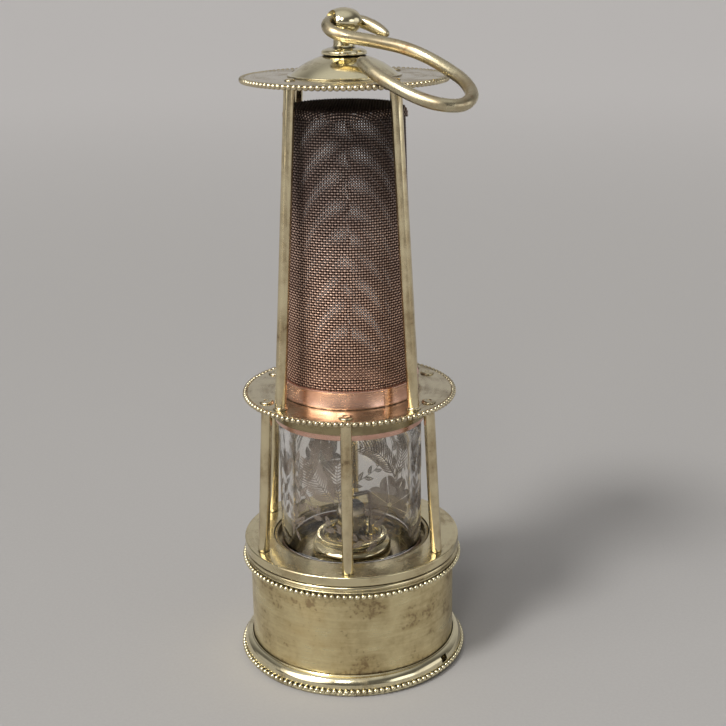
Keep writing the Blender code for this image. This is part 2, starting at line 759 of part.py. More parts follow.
def make_swivel():
    """The eye is modelled about its own centre, which is where the hook turns in it."""
    spigot_bottom = NUT_BOTTOM - SPIGOT_PAST_NUT - EYE_Z
    stem_bottom = WASHER_TOP + GAP - EYE_Z
    neck_angle = math.degrees(math.acos(STEM_RADIUS / EYE_RADIUS))
    profile = arc(0, 0, EYE_RADIUS, EYE_HALF_HEIGHT, 90, -neck_angle, 8)
    profile += [
        (STEM_RADIUS, stem_bottom),
        (SPIGOT_RADIUS, stem_bottom),
        (SPIGOT_RADIUS, spigot_bottom),
        (0, spigot_bottom),
    ]
    eye = turned("swivel_eye", profile, brass, SMALL_STEPS, closed=False, parent=swivel)

    def eye_hole(bm):
        """A hole across the ball between two flats, with opened mouths so that the wire can bend close."""
        across = Matrix.Rotation(math.radians(90), 4, "Y")
        outside = 1.5 * EYE_RADIUS
        half = [(EYE_HOLE_HALF, EYE_HOLE), (EYE_FLAT, EYE_MOUTH), (EYE_FLAT, outside), (outside, outside)]
        sections = [(-along, radius) for along, radius in reversed(half)] + half
        rings = []
        for along, radius in sections:
            place = Matrix.Translation((0, 0, along))
            made = bmesh.ops.create_circle(bm, segments=EYE_HOLE_STEPS, radius=radius, matrix=place)
            rings.append(made["verts"])
        for lower, upper in zip(rings, rings[1:]):
            for i in range(EYE_HOLE_STEPS):
                following = (i + 1) % EYE_HOLE_STEPS
                bm.faces.new((lower[i], lower[following], upper[following], upper[i]))
        bm.faces.new(list(reversed(rings[0])))
        bm.faces.new(rings[-1])
        bmesh.ops.recalc_face_normals(bm, faces=bm.faces)
        bm.transform(across)

    cutter = cut(eye, "eye_hole", eye_hole)
    cutter.parent = swivel

    bottom, top = NUT_BOTTOM - EYE_Z, NUT_TOP - EYE_Z
    profile = [(0, top), (NUT_RADIUS, top), (NUT_RADIUS, bottom), (0, bottom)]
    nut = turned("swivel_nut", profile, brass, NUT_SIDES, closed=False, parent=swivel)
    cut(
        nut,
        "nut_thread",
        lambda bm: add_drill(bm, 0, 0, NUT_BOTTOM - THROUGH, NUT_TOP + THROUGH, SPIGOT_RADIUS + GAP),
    )


# The wire's centre line in the hook's own plane: along the hole, and away from it. It starts at the short
# end, passes through the swivel's eye, turns back in front of it and sweeps round to the open tip.
HOOK_LINE = (
    (0.0119, 0.0112),
    (0.0105, 0.0078),
    (0.0086, 0.0040),
    (0.0062, 0.0010),
    (0.0032, 0.0),
    (0.0, 0.0),
    (-0.0030, 0.0),
    (-0.0057, 0.0009),
    (-0.0073, 0.0038),
    (-0.0068, 0.0076),
    (-0.0042, 0.0106),
    (0.0, 0.0129),
    (0.0066, 0.0162),
    (0.0132, 0.0205),
    (0.0187, 0.0274),
    (0.0226, 0.0365),
    (0.0246, 0.0455),
    (0.0230, 0.0543),
    (0.0170, 0.0596),
    (0.0098, 0.0585),
    (0.0042, 0.0535),
    (0.0000, 0.0462),
    (-0.0032, 0.0384),
    (-0.0047, 0.0320),
    (-0.0050, 0.0274),
)
HOOK_STUB_TAPER = (0.60, 0.75, 0.88)
HOOK_TIP_TAPER = (0.82,)


def smooth_line(points, per_span):
    """Points along a Catmull-Rom curve through the given points."""
    line = [Vector(point) for point in points]
    padded = [2 * line[0] - line[1]] + line + [2 * line[-1] - line[-2]]
    smooth = []
    for before, start, end, after in zip(padded, padded[1:], padded[2:], padded[3:]):
        for step in range(per_span):
            t = step / per_span
            smooth.append(
                0.5
                * (
                    2 * start
                    + (end - before) * t
                    + (2 * before - 5 * start + 4 * end - after) * t**2
                    + (3 * start - before - 3 * end + after) * t**3
                )
            )
    return smooth + [line[-1]]


def make_hook():
    line = smooth_line(HOOK_LINE, HOOK_POINTS_PER_SPAN)
    wire = bpy.data.curves.new("hook", "CURVE")
    wire.dimensions = "3D"
    wire.bevel_depth = HOOK_WIRE
    wire.bevel_resolution = 2
    wire.use_fill_caps = True
    spline = wire.splines.new("POLY")
    spline.points.add(len(line) - 1)
    for point, (along, away) in zip(spline.points, line):
        point.co = (along, -away, 0, 1)
    for index, scale in enumerate(HOOK_STUB_TAPER):
        spline.points[index].radius = scale
    for index, scale in enumerate(HOOK_TIP_TAPER, start=1):
        spline.points[-index].radius = scale
    wire.materials.append(brass)
    hook = bpy.data.objects.new("hook", wire)
    hook.parent = swivel
    hook.rotation_euler = (HOOK_TILT, 0, 0)
    parts.objects.link(hook)


def shade_sharp_edges():
    """Round faces stay smooth and the turned corners stay crisp."""
    for piece in parts.objects:
        if piece.type == "MESH" and not piece.modifiers:
            piece.data.shade_smooth()
            piece.data.set_sharp_from_angle(angle=math.radians(35))


for old in list(bpy.data.objects):
    bpy.data.objects.remove(old)

parts = make_collection("miners_flame_safety_lamp", True)
cutters = make_collection("cutters", False)

brass = make_material("brass", (0.72, 0.62, 0.36), 1.0, 0.28)
copper = make_material("copper", (0.80, 0.47, 0.34), 1.0, 0.22)
gauze = make_material("wire_gauze", (0.24, 0.13, 0.10), 0.8, 0.55)
steel = make_material("steel", (0.55, 0.55, 0.54), 1.0, 0.35)
glass = make_material("glass", (0.92, 0.95, 0.94), 0.0, 0.05, transmission=1.0)
leather = make_material("leather", (0.20, 0.12, 0.08), 0.0, 0.75)
cotton = make_material("cotton", (0.55, 0.50, 0.42), 0.0, 0.95)

washer = make_empty("washer_axis", (0, 0, 0))
cage = make_empty("cage_axis", (0, 0, 0))
swivel = make_empty("swivel_axis", (0, 0, EYE_Z), SWIVEL_TURN, cage)

make_vessel()
make_foot()
make_burner()
make_pricker()
make_lower_ring()
make_glass()
make_deck()
make_lower_pillars()
make_upper_pillars()
make_gauze()
make_hood()
make_swivel()
make_hook()
shade_sharp_edges()
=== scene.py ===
"""Looks of the brass miner's oil flame safety lamp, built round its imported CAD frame.

Shapes are worked out in millimetres in the frame's own axes: the lamp's axis is Z, its front is -Y, and
angles round it are measured from the front towards +X.
"""

import json
from math import acos, atan, atan2, cos, pi, radians, sin, sqrt

import bmesh
import bpy
import numpy as np
from mathutils import Matrix, Vector


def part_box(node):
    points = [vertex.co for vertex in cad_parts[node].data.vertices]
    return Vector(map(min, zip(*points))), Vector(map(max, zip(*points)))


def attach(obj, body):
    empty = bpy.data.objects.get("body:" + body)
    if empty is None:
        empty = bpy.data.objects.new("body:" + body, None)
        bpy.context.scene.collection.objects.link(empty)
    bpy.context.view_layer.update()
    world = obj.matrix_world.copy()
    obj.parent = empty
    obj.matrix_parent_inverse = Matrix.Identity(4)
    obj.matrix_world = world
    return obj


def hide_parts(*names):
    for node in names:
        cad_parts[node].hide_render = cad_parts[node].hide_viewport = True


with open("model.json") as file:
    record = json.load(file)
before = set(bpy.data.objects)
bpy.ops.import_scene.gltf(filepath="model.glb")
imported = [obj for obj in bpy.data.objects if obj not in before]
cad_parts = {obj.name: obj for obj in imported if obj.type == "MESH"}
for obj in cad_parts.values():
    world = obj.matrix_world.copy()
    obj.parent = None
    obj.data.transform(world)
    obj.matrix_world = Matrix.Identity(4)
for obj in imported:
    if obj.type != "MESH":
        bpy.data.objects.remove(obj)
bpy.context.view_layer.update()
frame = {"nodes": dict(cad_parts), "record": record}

MM = 0.001
RING_STEPS = 256
ROD_STEPS = 40
SOFT_EDGE = 0.16  # radius broken onto turned corners
SHARP = radians(32)
BEAD = 0.87  # how far the frame's rim lies outside the centre line of its bead row
BEAD_SIZE = 0.95
BEAD_SHARE = 0.88  # how much of the pitch a bead fills

BODY_OF = {node: body for body, nodes in frame["record"]["behaviour"]["bodies"].items() for node in nodes}


# ---- where the frame's pieces are


def top(node):
    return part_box(node)[1].z / MM


def bottom(node):
    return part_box(node)[0].z / MM


def ends(node):
    return bottom(node), top(node)


def middle_of(node):
    return (bottom(node) + top(node)) / 2


def outer(node):
    """Largest radius of a ring that is centred on the lamp's axis."""
    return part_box(node)[1].x / MM


def round_the_lamp(radius, degrees):
    """The x and y of a point at a distance from the axis and an angle from the front."""
    angle = radians(degrees)
    return radius * sin(angle), -radius * cos(angle)


def shift(x, y, z=0):
    return Matrix.Translation((x, y, z))


def placed(radius, z, degrees):
    """Moves a shape out from the axis to an angle round the lamp, and turns it to face outwards there."""
    return shift(*round_the_lamp(radius, degrees), z) @ Matrix.Rotation(radians(degrees), 4, "Z")


# ---- mesh helpers


def new_object(name, data):
    made = bpy.data.objects.new(name, data)
    bpy.context.scene.collection.objects.link(made)
    return made


def solid(name, shape, material, sharp=SHARP, weld=True):
    """An object from points in millimetres, smooth but for its sharp corners."""
    points, faces = shape
    mesh = bpy.data.meshes.new(name)
    mesh.from_pydata([tuple(v) for v in np.asarray(points) * MM], [], faces)
    if weld:
        bm = bmesh.new()
        bm.from_mesh(mesh)
        bmesh.ops.remove_doubles(bm, verts=bm.verts, dist=2e-7)
        bmesh.ops.recalc_face_normals(bm, faces=bm.faces)
        bm.to_mesh(mesh)
        bm.free()
    mesh.shade_smooth()
    if sharp:
        mesh.set_sharp_from_angle(angle=sharp)
    mesh.materials.append(material)
    return new_object(name, mesh)


def piece_for(node, shape, material, slot="brass", name=None, **how):
    """A piece that stands for a node of the frame and rides on its body."""
    piece = solid(name or node + "_fine", shape, material, **how)
    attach(piece, BODY_OF[node])
    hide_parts(node)
    return piece


def arc(centre_r, centre_z, radius_r, radius_z, start, end, count):
    """Points (r, z) of an elliptic arc, angles in degrees, 0 outwards and 90 upwards."""
    angles = np.radians(np.linspace(start, end, count + 1))
    return [(centre_r + radius_r * cos(a), centre_z + radius_z * sin(a)) for a in angles]


def softened(profile, radius, closed):
    """The profile with its real corners rounded off."""
    points = [np.array(p, float) for p in profile]
    made = []
    for i, point in enumerate(points):
        if not closed and i in (0, len(points) - 1):
            made.append(point)
            continue
        before, after = points[i - 1] - point, points[(i + 1) % len(points)] - point
        lengths = np.linalg.norm(before), np.linalg.norm(after)
        if min(lengths) < 1e-6:
            continue
        turn = acos(np.clip(-(before @ after) / (lengths[0] * lengths[1]), -1, 1))
        if turn < radians(22):
            made.append(point)
            continue
        cut = min(radius, 0.4 * lengths[0], 0.4 * lengths[1])
        start, end = point + before / lengths[0] * cut, point + after / lengths[1] * cut
        for t in np.linspace(0, 1, 4):
            made.append((1 - t) ** 2 * start + 2 * t * (1 - t) * point + t**2 * end)
    return [tuple(p) for p in made]


def tube_faces(rows, steps, closed=False):
    """Faces between rings of points, and with closed also from the last ring back to the first."""
    faces = []
    for i in range(rows if closed else rows - 1):
        lower, upper = i * steps, (i + 1) % rows * steps
        for j in range(steps):
            k = (j + 1) % steps
            faces.append((lower + j, lower + k, upper + k, upper + j))
    return faces


def lathe_mesh(profile, steps, closed=False, shape=None):
    """Points and faces of a turned shape; shape(r, z, angle) may change r and z."""
    rz = np.array(profile, float)
    count = len(rz)
    angles = np.linspace(0, 2 * pi, steps, endpoint=False)
    r = np.repeat(rz[:, 0][:, None], steps, 1)
    z = np.repeat(rz[:, 1][:, None], steps, 1)
    a = np.repeat(angles[None, :], count, 0)
    if shape:
        r, z = shape(r, z, a)
    verts = np.stack([r * np.sin(a), -r * np.cos(a), z], -1).reshape(-1, 3)
    return verts, tube_faces(count, steps, closed)


def merged(*shapes):
    """Several (points, faces) as one."""
    verts, faces, start = [], [], 0
    for points, polygons in shapes:
        verts.append(np.asarray(points))
        faces += [tuple(i + start for i in face) for face in polygons]
        start += len(points)
    return np.concatenate(verts), faces


def moved(shape, matrix):
    points, faces = shape
    m = np.array(matrix)
    return np.asarray(points) @ m[:3, :3].T + m[:3, 3], faces


def rod(profile, soft, steps, shape=None):
    """A turned shape whose profile starts and ends on the axis."""
    return lathe_mesh(softened(profile, soft, False), steps, False, shape)


def ball(radii):
    """A small ellipsoid."""
    verts, faces = lathe_mesh(arc(0, 0, 1, 1, 90, -90, 9), 14)
    return verts * np.array(radii), faces


def bead_row(radius, z, count, size=BEAD_SIZE, share=BEAD_SHARE):
    """A row of beads round the lamp; share is how much of the pitch each fills."""
    bead = ball((pi * radius / count * share, size, size))
    return merged(*(moved(bead, placed(radius, z, 360 * (index + 0.5) / count)) for index in range(count)))


def sweep(line, radii, sides, up=(0, 0, 1)):
    """A round bar along a line of points, closed at both ends."""
    line = np.array(line, float)
    tangents = np.gradient(line, axis=0)
    tangents /= np.linalg.norm(tangents, axis=1)[:, None]
    side = np.cross(tangents[0], up)
    side /= np.linalg.norm(side)
    verts = []
    for point, tangent, radius in zip(line, tangents, radii):
        side = side - tangent * (side @ tangent)
        side /= np.linalg.norm(side)
        other = np.cross(tangent, side)
        for a in np.linspace(0, 2 * pi, sides, endpoint=False):
            verts.append(point + radius * (side * cos(a) + other * sin(a)))
    last = (len(line) - 1) * sides
    caps = [tuple(reversed(range(sides))), tuple(range(last, last + sides))]
    return np.array(verts), tube_faces(len(line), sides) + caps


def smooth_line(points, per_span):
    """Points along a Catmull-Rom curve through the given points."""
    p = [np.array(q, float) for q in points]
    padded = [2 * p[0] - p[1]] + p + [2 * p[-1] - p[-2]]
    smooth = []
    for a, b, c, d in zip(padded, padded[1:], padded[2:], padded[3:]):
        for t in np.linspace(0, 1, per_span, endpoint=False):
            turns = (c - a) * t + (2 * a - 5 * b + 4 * c - d) * t**2 + (3 * b - a - 3 * c + d) * t**3
            smooth.append(b + turns / 2)
    return smooth + [p[-1]]


def carve(piece, shape):
    """Cuts a shape out of a piece's mesh."""
    tool = solid("tool", shape, piece.data.materials[0])
    modifier = piece.modifiers.new("boolean", "BOOLEAN")
    modifier.solver = "EXACT"
    modifier.object = tool
    graph = bpy.context.evaluated_depsgraph_get()
    mesh = bpy.data.meshes.new_from_object(piece.evaluated_get(graph))
    piece.modifiers.clear()
    piece.data = mesh
    mesh.shade_smooth()
    mesh.set_sharp_from_angle(angle=SHARP)
    bpy.data.objects.remove(tool)


def drill(piece, place, radius, low, high, steps):
    """Cuts an upright round hole."""
    hole = lathe_mesh([(0, high), (radius, high), (radius, low), (0, low)], steps)
    carve(piece, moved(hole, shift(*place)))


# ---- material helpers


class Value:
    """What a material works out at each point; sums, products and the like of it add Math nodes."""

    def __init__(self, socket):
        self.socket = socket
        self.tree = socket.id_data

    def __add__(self, other):
        return maths("ADD", self, other)

    def __sub__(self, other):
        return maths("SUBTRACT", self, other)

    def __mul__(self, other):
        return maths("MULTIPLY", self, other)

    def __truediv__(self, other):
        return maths("DIVIDE", self, other)


def put(value, socket):
    """Links a value to a socket, or sets a constant on it."""
    if isinstance(value, Value):
        value.tree.links.new(value.socket, socket)
    else:
        socket.default_value = value


def outputs(tree, kind, inputs=None, **settings):
    """The outputs of a new node."""
    made = tree.nodes.new("ShaderNode" + kind)
    for key, value in settings.items():
        setattr(made, key, value)
    for key, value in (inputs or {}).items():
        put(value, made.inputs[key])
    return made.outputs


def output(key, *made, **settings):
    """One output of a new node."""
    return Value(outputs(*made, **settings)[key])


def split(vector):
    return [Value(part) for part in outputs(vector.tree, "SeparateXYZ", {0: vector})]


def maths(operation, a, b=0):
    return output(0, a.tree, "Math", {0: a, 1: b}, operation=operation)


def from_axis(x, y):
    return maths("SQRT", x * x + y * y)


def crossed(tree, a, b):
    return output(0, tree, "VectorMath", {0: a, 1: b}, operation="CROSS_PRODUCT")


def noise(place, scale, detail=3, roughness=0.5):
    inputs = {"Vector": place, "Scale": scale, "Detail": detail, "Roughness": roughness}
    return output("Fac", place.tree, "TexNoise", inputs)


def remap(value, low, high, to_low=0, to_high=1):
    inputs = {"Value": value, "From Min": low, "From Max": high, "To Min": to_low, "To Max": to_high}
    return output(0, value.tree, "MapRange", inputs, interpolation_type="SMOOTHSTEP")


def mixed(share, a, b):
    """A mix of two colours, each (r, g, b) or a value."""
    colours = [c if isinstance(c, Value) else (*c, 1) for c in (a, b)]
    return output(2, share.tree, "Mix", {0: share, 6: colours[0], 7: colours[1]}, data_type="RGBA")


def new_material(name):
    """A material, its shader and the object's own coordinates."""
    material = bpy.data.materials.new(name)
    material.use_nodes = True
    tree = material.node_tree
    return material, tree.nodes["Principled BSDF"], output("Object", tree, "TexCoord")


def set_inputs(shader, **inputs):
    for key, value in inputs.items():
        put(value, shader.inputs[key.replace("_", " ")])


def bumped(*layers):
    """Normals for bumps given as (height, strength, distance), laid one over the other."""
    normal = None
    for height, strength, distance in layers:
        inputs = {"Height": height, "Strength": strength, "Distance": distance}
        if normal:
            inputs["Normal"] = normal
        normal = output(0, height.tree, "Bump", inputs)
    return normal


MARKS_ON_FLATS = 1.37  # how close turning marks lie on a flat, compared with an upright side


def turned_coordinates(place, length, across):
    """Coordinates that run slowly round the lamp and fast across the turning marks."""
    x, y, z = split(place)
    radius = from_axis(x, y)
    safe = maths("MAXIMUM", radius, 1e-5)
    parts = {0: x / safe * length, 1: y / safe * length, 2: (radius * MARKS_ON_FLATS + z) * across}
    return output(0, place.tree, "CombineXYZ", parts)


def stretched(place, scale):
    return output(0, place.tree, "Mapping", {"Vector": place, "Scale": scale})


def partly_clear(shader, share, tint):
    """Lets light straight through the surface for a share of it."""
    tree = shader.id_data
    clear = output(0, tree, "BsdfTransparent", {"Color": (*tint, 1)})
    mix = output(0, tree, "MixShader", {0: share, 1: Value(shader.outputs[0]), 2: clear})
    put(mix, tree.nodes["Material Output"].inputs["Surface"])


NEARLY_UP = (0.03, 0.05, 1)  # never quite square to a level face


def metal(name, bright, dull, stain, rough, marks=None, aged=0.5, dents=1, stain_level=0.62,
          upright=0, grit=1, soil_and_shade_reach=0.0014):
    """Worked metal: cloudy tarnish, stains, tool marks, slightly uneven polish, and corners darkened by
    ambient occlusion, partly soiling and partly painted shade.

    rough is (cleanest, dullest). marks scales the marks of drawing or filing, and without it they are turned.
    aged is how far the clouds of tarnish reach, dents how wavy the polish is, upright how far highlights are
    drawn out up and down, soil_and_shade_reach how far the darkening reaches out of a corner; that darkening
    is partly soiling and partly painted shade.
    """
    material, shader, place = new_material(name)
    clouds = noise(place, 95, 4, 0.62)
    fine = noise(place, 620, 3, 0.6)
    if marks:
        streaks = noise(stretched(place, marks), 1, 3, 0.6)
        broad = noise(stretched(place, tuple(s * 0.2 for s in marks)), 1, 2, 0.5)
    else:
        streaks = noise(turned_coordinates(place, 2.2, 4200), 1, 3, 0.65)
        broad = noise(turned_coordinates(place, 1.6, 520), 1, 3, 0.6)
    tarnish = remap(clouds + broad * 0.45, 0.95 - aged * 0.45, 0.98)
    stains = remap(clouds * 0.6 + fine * 0.4, stain_level, stain_level + 0.09)
    colour = mixed(tarnish, bright, dull)
    colour = mixed(stains * 0.75, colour, stain)
    colour = mixed(remap(streaks, 0.56, 0.75, 0, 0.3), colour, dull)
    # Painted shade, partly soiling: the colour turns to a dark stain colour where nearby surfaces hem the
    # point in (ambient occlusion).
    open_sky = output("AO", place.tree, "AmbientOcclusion", {"Distance": soil_and_shade_reach}, samples=6)
    soil_and_shade = remap(open_sky - remap(fine, 0.35, 0.65, -0.12, 0.12), 0.25, 0.82, 0.88, 0)
    colour = mixed(soil_and_shade, colour, tuple(c * 0.35 for c in stain))
    roughness = remap(tarnish, 0, 1, *rough) + remap(streaks, 0.3, 0.7, -0.03, 0.05) + soil_and_shade * 0.25
    waves = noise(place, 160, 1, 0.4)
    normal = bumped((waves, 0.5 * dents, 0.00012), (streaks, 0.32 * grit, 0.00001),
                    (fine, 0.22 * grit, 0.00002), (stains, 0.25 * grit, 0.00001))
    set_inputs(shader, Base_Color=colour, Metallic=1, Roughness=roughness, Normal=normal)
    if upright:
        outwards = output("Normal", place.tree, "NewGeometry")
        around = crossed(place.tree, NEARLY_UP, outwards)
        set_inputs(shader, Anisotropic=upright, Tangent=crossed(place.tree, outwards, around))
    return material


def off_the_cone(radius, z):
    """How far a point stands out of the cone that the gauze's proudest knuckles touch."""
    slope = (GAUZE_HEAD - GAUZE_FOOT) / (GAUZE_TOP - GAUZE_BOTTOM)
    return radius - (z * slope + (GAUZE_FOOT - slope * GAUZE_BOTTOM) * MM)


def off_the_cap(radius, z):
    """The same for the cap's round-edged drum, whose flat top counts as standing further in, so it takes far
    less of the bright knuckle colour than its edge: partly less wear, partly painted shade under the hood.
    """
    across = maths("MAXIMUM", radius - CAP_FLAT * MM, 0)
    rise = maths("MAXIMUM", z - (CAP_HIGH - CAP_FOLD) * MM, 0)
    # Painted shade, partly less wear: the flat top is pushed in by up to 0.35 mm, so it stays dark.
    less_worn_and_shaded = remap(across, 0, CAP_FOLD * MM, 0.35 * MM, 0)
    return from_axis(across, rise) - (CAP_FOLD + WIRE + WARP_WAVE) * MM - less_worn_and_shaded


def gauze_wire(name, standing, sunk, proud, wear_and_highlight):
    """Oxidised wire, dark between the knuckles and bright copper on them, partly real wear and partly a
    painted highlight.

    standing gives how far out a point is. The wire is dark below sunk, and takes the bright knuckle colour by
    the share wear_and_highlight above proud.
    """
    material, shader, place = new_material(name)
    x, y, z = split(place)
    clouds = noise(place, 70, 3, 0.6)
    fine = noise(place, 1500, 2, 0.5)
    height = remap(z, GAUZE_BOTTOM * MM, GAUZE_TOP * MM)
    # Painted highlight, partly real wear: the proudest points of the knuckles take a bright copper colour.
    worn_and_highlit = remap(standing(from_axis(x, y), z), sunk * MM, proud * MM, 0, wear_and_highlight)
    amount = worn_and_highlit * remap(clouds, 0.3, 0.7, 0.6, 1) * remap(height, 0.45, 1, 1, 0.26)
    dark = mixed(height, (0.078, 0.032, 0.022), (0.016, 0.01, 0.009))
    dark = mixed(remap(fine, 0.4, 0.75, 0, 0.5), dark, (0.085, 0.045, 0.035))
    colour = mixed(amount, dark, mixed(height, (1, 0.66, 0.47), (0.95, 0.72, 0.62)))
    set_inputs(shader, Base_Color=colour, Metallic=0.5, Roughness=remap(amount, 0, 1, 0.6, 0.42),
               Normal=bumped((fine, 0.4, 0.00002)))
    return material


def thick_glass():
    """Glass that lets light through to what stands in it."""
    material, shader, place = new_material("thick_glass")
    waves = noise(place, 55, 2, 0.5)
    smears = noise(stretched(place, (90, 90, 35)), 1, 4, 0.65)
    set_inputs(shader, Base_Color=(0.96, 0.948, 0.925, 1), IOR=1.5, Transmission_Weight=1,
               Roughness=remap(smears, 0.45, 0.85, 0, 0.07), Normal=bumped((waves, 0.35, 0.00012)))
    partly_clear(shader, output("Is Shadow Ray", place.tree, "LightPath"), (0.92, 0.92, 0.91))
    return material


def frosting():
    """The wheel-cut, unpolished ground of the engraving."""
    material, shader, place = new_material("frosted_engraving")
    grain = noise(place, 2600, 2, 0.6)
    strokes = noise(stretched(place, (900, 900, 260)), 1, 2, 0.5)
    clouds = noise(place, 180, 2, 0.5)
    set_inputs(shader, Base_Color=mixed(clouds, (0.19, 0.155, 0.128), (0.29, 0.245, 0.205)),
               Roughness=remap(grain, 0.3, 0.7, 0.42, 0.68),
               Normal=bumped((strokes, 0.5, 0.00004), (grain, 0.4, 0.00002)))
    share = remap(clouds * 0.6 + strokes * 0.4, 0.25, 0.75, 0.36, 0.68)
    partly_clear(shader, share, (0.86, 0.85, 0.83))
    return material


def leather_material():
    material, shader, place = new_material("oiled_leather")
    grain = output("Distance", place.tree, "TexVoronoi", {"Vector": place, "Scale": 1500})
    clouds = noise(place, 240, 3, 0.6)
    set_inputs(shader, Base_Color=mixed(clouds, (0.052, 0.03, 0.02), (0.125, 0.07, 0.042)),
               Roughness=remap(clouds, 0.3, 0.7, 0.5, 0.75),
               Normal=bumped((grain, 0.5, 0.00006), (clouds, 0.4, 0.0001)))
    return material


def cotton_material():
    """Braided wick: pale where it is clean, charred black at the tip."""
    material, shader, place = new_material("braided_cotton")
    fibres = noise(stretched(place, (3000, 3000, 900)), 1, 3, 0.6)
    height = split(place)[2] + noise(place, 500, 3, 0.6) * 0.002
    charred = remap(height, (WICK_TOP - 2.6) * MM, (WICK_TOP + 0.2) * MM)
    colour = mixed(fibres, (0.4, 0.33, 0.22), (0.66, 0.58, 0.44))
    set_inputs(shader, Base_Color=mixed(charred, colour, (0.018, 0.015, 0.013)), Sheen_Weight=0.3,
               Roughness=remap(fibres, 0.2, 0.8, 0.85, 0.98), Normal=bumped((fibres, 0.7, 0.0001)))
    return material


# ---- sizes that several pieces share

GAUZE_FOOT = outer("gauze_cylinder")
GAUZE_BOTTOM, GAUZE_TOP = ends("gauze_cylinder")
GAUZE_CAP = outer("gauze_cap")
WIRE = 0.28  # the wires' radius
WARP_WAVE, WEFT_WAVE = 0.32, 0.18  # how far the wires weave in and out
CAP_SHORT = 0.9  # how much less the hand-folded band comes down at the front
CAP_FOLD = 2.6  # radius of the fold round its rim
CAP_FLAT = GAUZE_CAP - CAP_FOLD - WIRE - WARP_WAVE
CAP_HIGH = top("gauze_cap") - 0.25  # middle of the wires on its flat top
CAP_EDGE = 0.88  # how far the cap's woven band stands out from the gauze
GAUZE_HEAD = GAUZE_CAP - CAP_EDGE
WICK_TOP = top("wick")
PRICKER = sum(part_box("pricker_bush"), Vector()).xy / 2 / MM  # where its axis stands

BRASS = (0.83, 0.755, 0.51)
BRASS_DULL = (0.48, 0.405, 0.245)
BRASS_STAIN = (0.2, 0.135, 0.08)

polished = metal("polished_brass", BRASS, BRASS_DULL, BRASS_STAIN, (0.12, 0.3), stain_level=0.63)
satin = metal("satin_brass", (0.82, 0.715, 0.425), (0.5, 0.395, 0.205), (0.27, 0.185, 0.1), (0.27, 0.42),
              aged=1.15, dents=1.3, stain_level=0.545, upright=0.5, soil_and_shade_reach=0.005)
satin_ring = metal("turned_brass", (0.78, 0.69, 0.44), (0.5, 0.41, 0.24), BRASS_STAIN, (0.18, 0.34),
                   aged=0.8, dents=0.8, stain_level=0.6, soil_and_shade_reach=0.0016)
plate = metal("plate_brass", (0.72, 0.635, 0.43), (0.45, 0.375, 0.25), BRASS_STAIN, (0.16, 0.36),
              aged=0.8, dents=1.2, stain_level=0.595, soil_and_shade_reach=0.0018)
bar = metal("bar_brass", (0.8, 0.7, 0.46), (0.46, 0.36, 0.21), BRASS_STAIN, (0.11, 0.23),
            marks=(1500, 1500, 70), aged=0.85, stain_level=0.59, upright=0.6, grit=0.5)
ring_brass = metal("bow_brass", (0.66, 0.6, 0.41), (0.45, 0.365, 0.23), (0.33, 0.185, 0.105), (0.2, 0.38),
                   marks=(700, 700, 700), aged=0.95, dents=1.6, stain_level=0.575)
copper = metal("copper", (0.86, 0.55, 0.43), (0.6, 0.34, 0.26), (0.25, 0.13, 0.09), (0.24, 0.34),
               aged=0.9, dents=0.5, stain_level=0.66, upright=0.3, grit=0)
steel = metal("steel_wire", (0.36, 0.34, 0.32), (0.22, 0.2, 0.18), (0.12, 0.08, 0.06), (0.3, 0.5),
              marks=(3000, 3000, 200), aged=0.8)
# Painted highlight, partly real wear: the weft's knuckles get a larger share of the bright colour than the
# upright warp's, standing for the light they catch from above, and the cap's band the largest share.
gauze_warp = gauze_wire("gauze_warp_wire", off_the_cone, -0.32, -0.06, 0.8)
gauze_weft = gauze_wire("gauze_weft_wire", off_the_cone, -0.48, -0.24, 0.9)
gauze_cap = gauze_wire("gauze_cap_wire", off_the_cap, -0.42, -0.08, 2.8)
# Painted shade, partly a duller finish: a darker copy of the brass for the glass collar under the deck and
# the glass seat ring.
dull_shaded_brass = metal("dull_shaded_brass", (0.42, 0.35, 0.2), (0.24, 0.19, 0.11), BRASS_STAIN, (0.22, 0.42), aged=0.9,
                   stain_level=0.58)
glass = thick_glass()
frosted = frosting()
leather = leather_material()
cotton = cotton_material()


def turned(node, profile, material, slot="brass", name=None, steps=RING_STEPS, closed=True,
           soft=SOFT_EDGE, shape=None, extra=(), place=(0, 0)):
    """A turned piece, its corners softened, with any extra shapes joined to its mesh."""
    made = lathe_mesh(softened(profile, soft, closed), steps, closed, shape)
    return piece_for(node, merged(moved(made, shift(*place)), *extra), material, slot, name)


def ring(node, inner, rim, material, **how):
    """A turned ring of plain section, as tall as its node."""
    low, high = ends(node)
    turned(node, [(inner, high), (rim, high), (rim, low), (inner, low)], material, **how)


# ---- oil vessel and foot

VESSEL_RADIUS = outer("vessel_shell")
VESSEL_TOP = top("vessel_shell")
VESSEL_WALL = 1.46


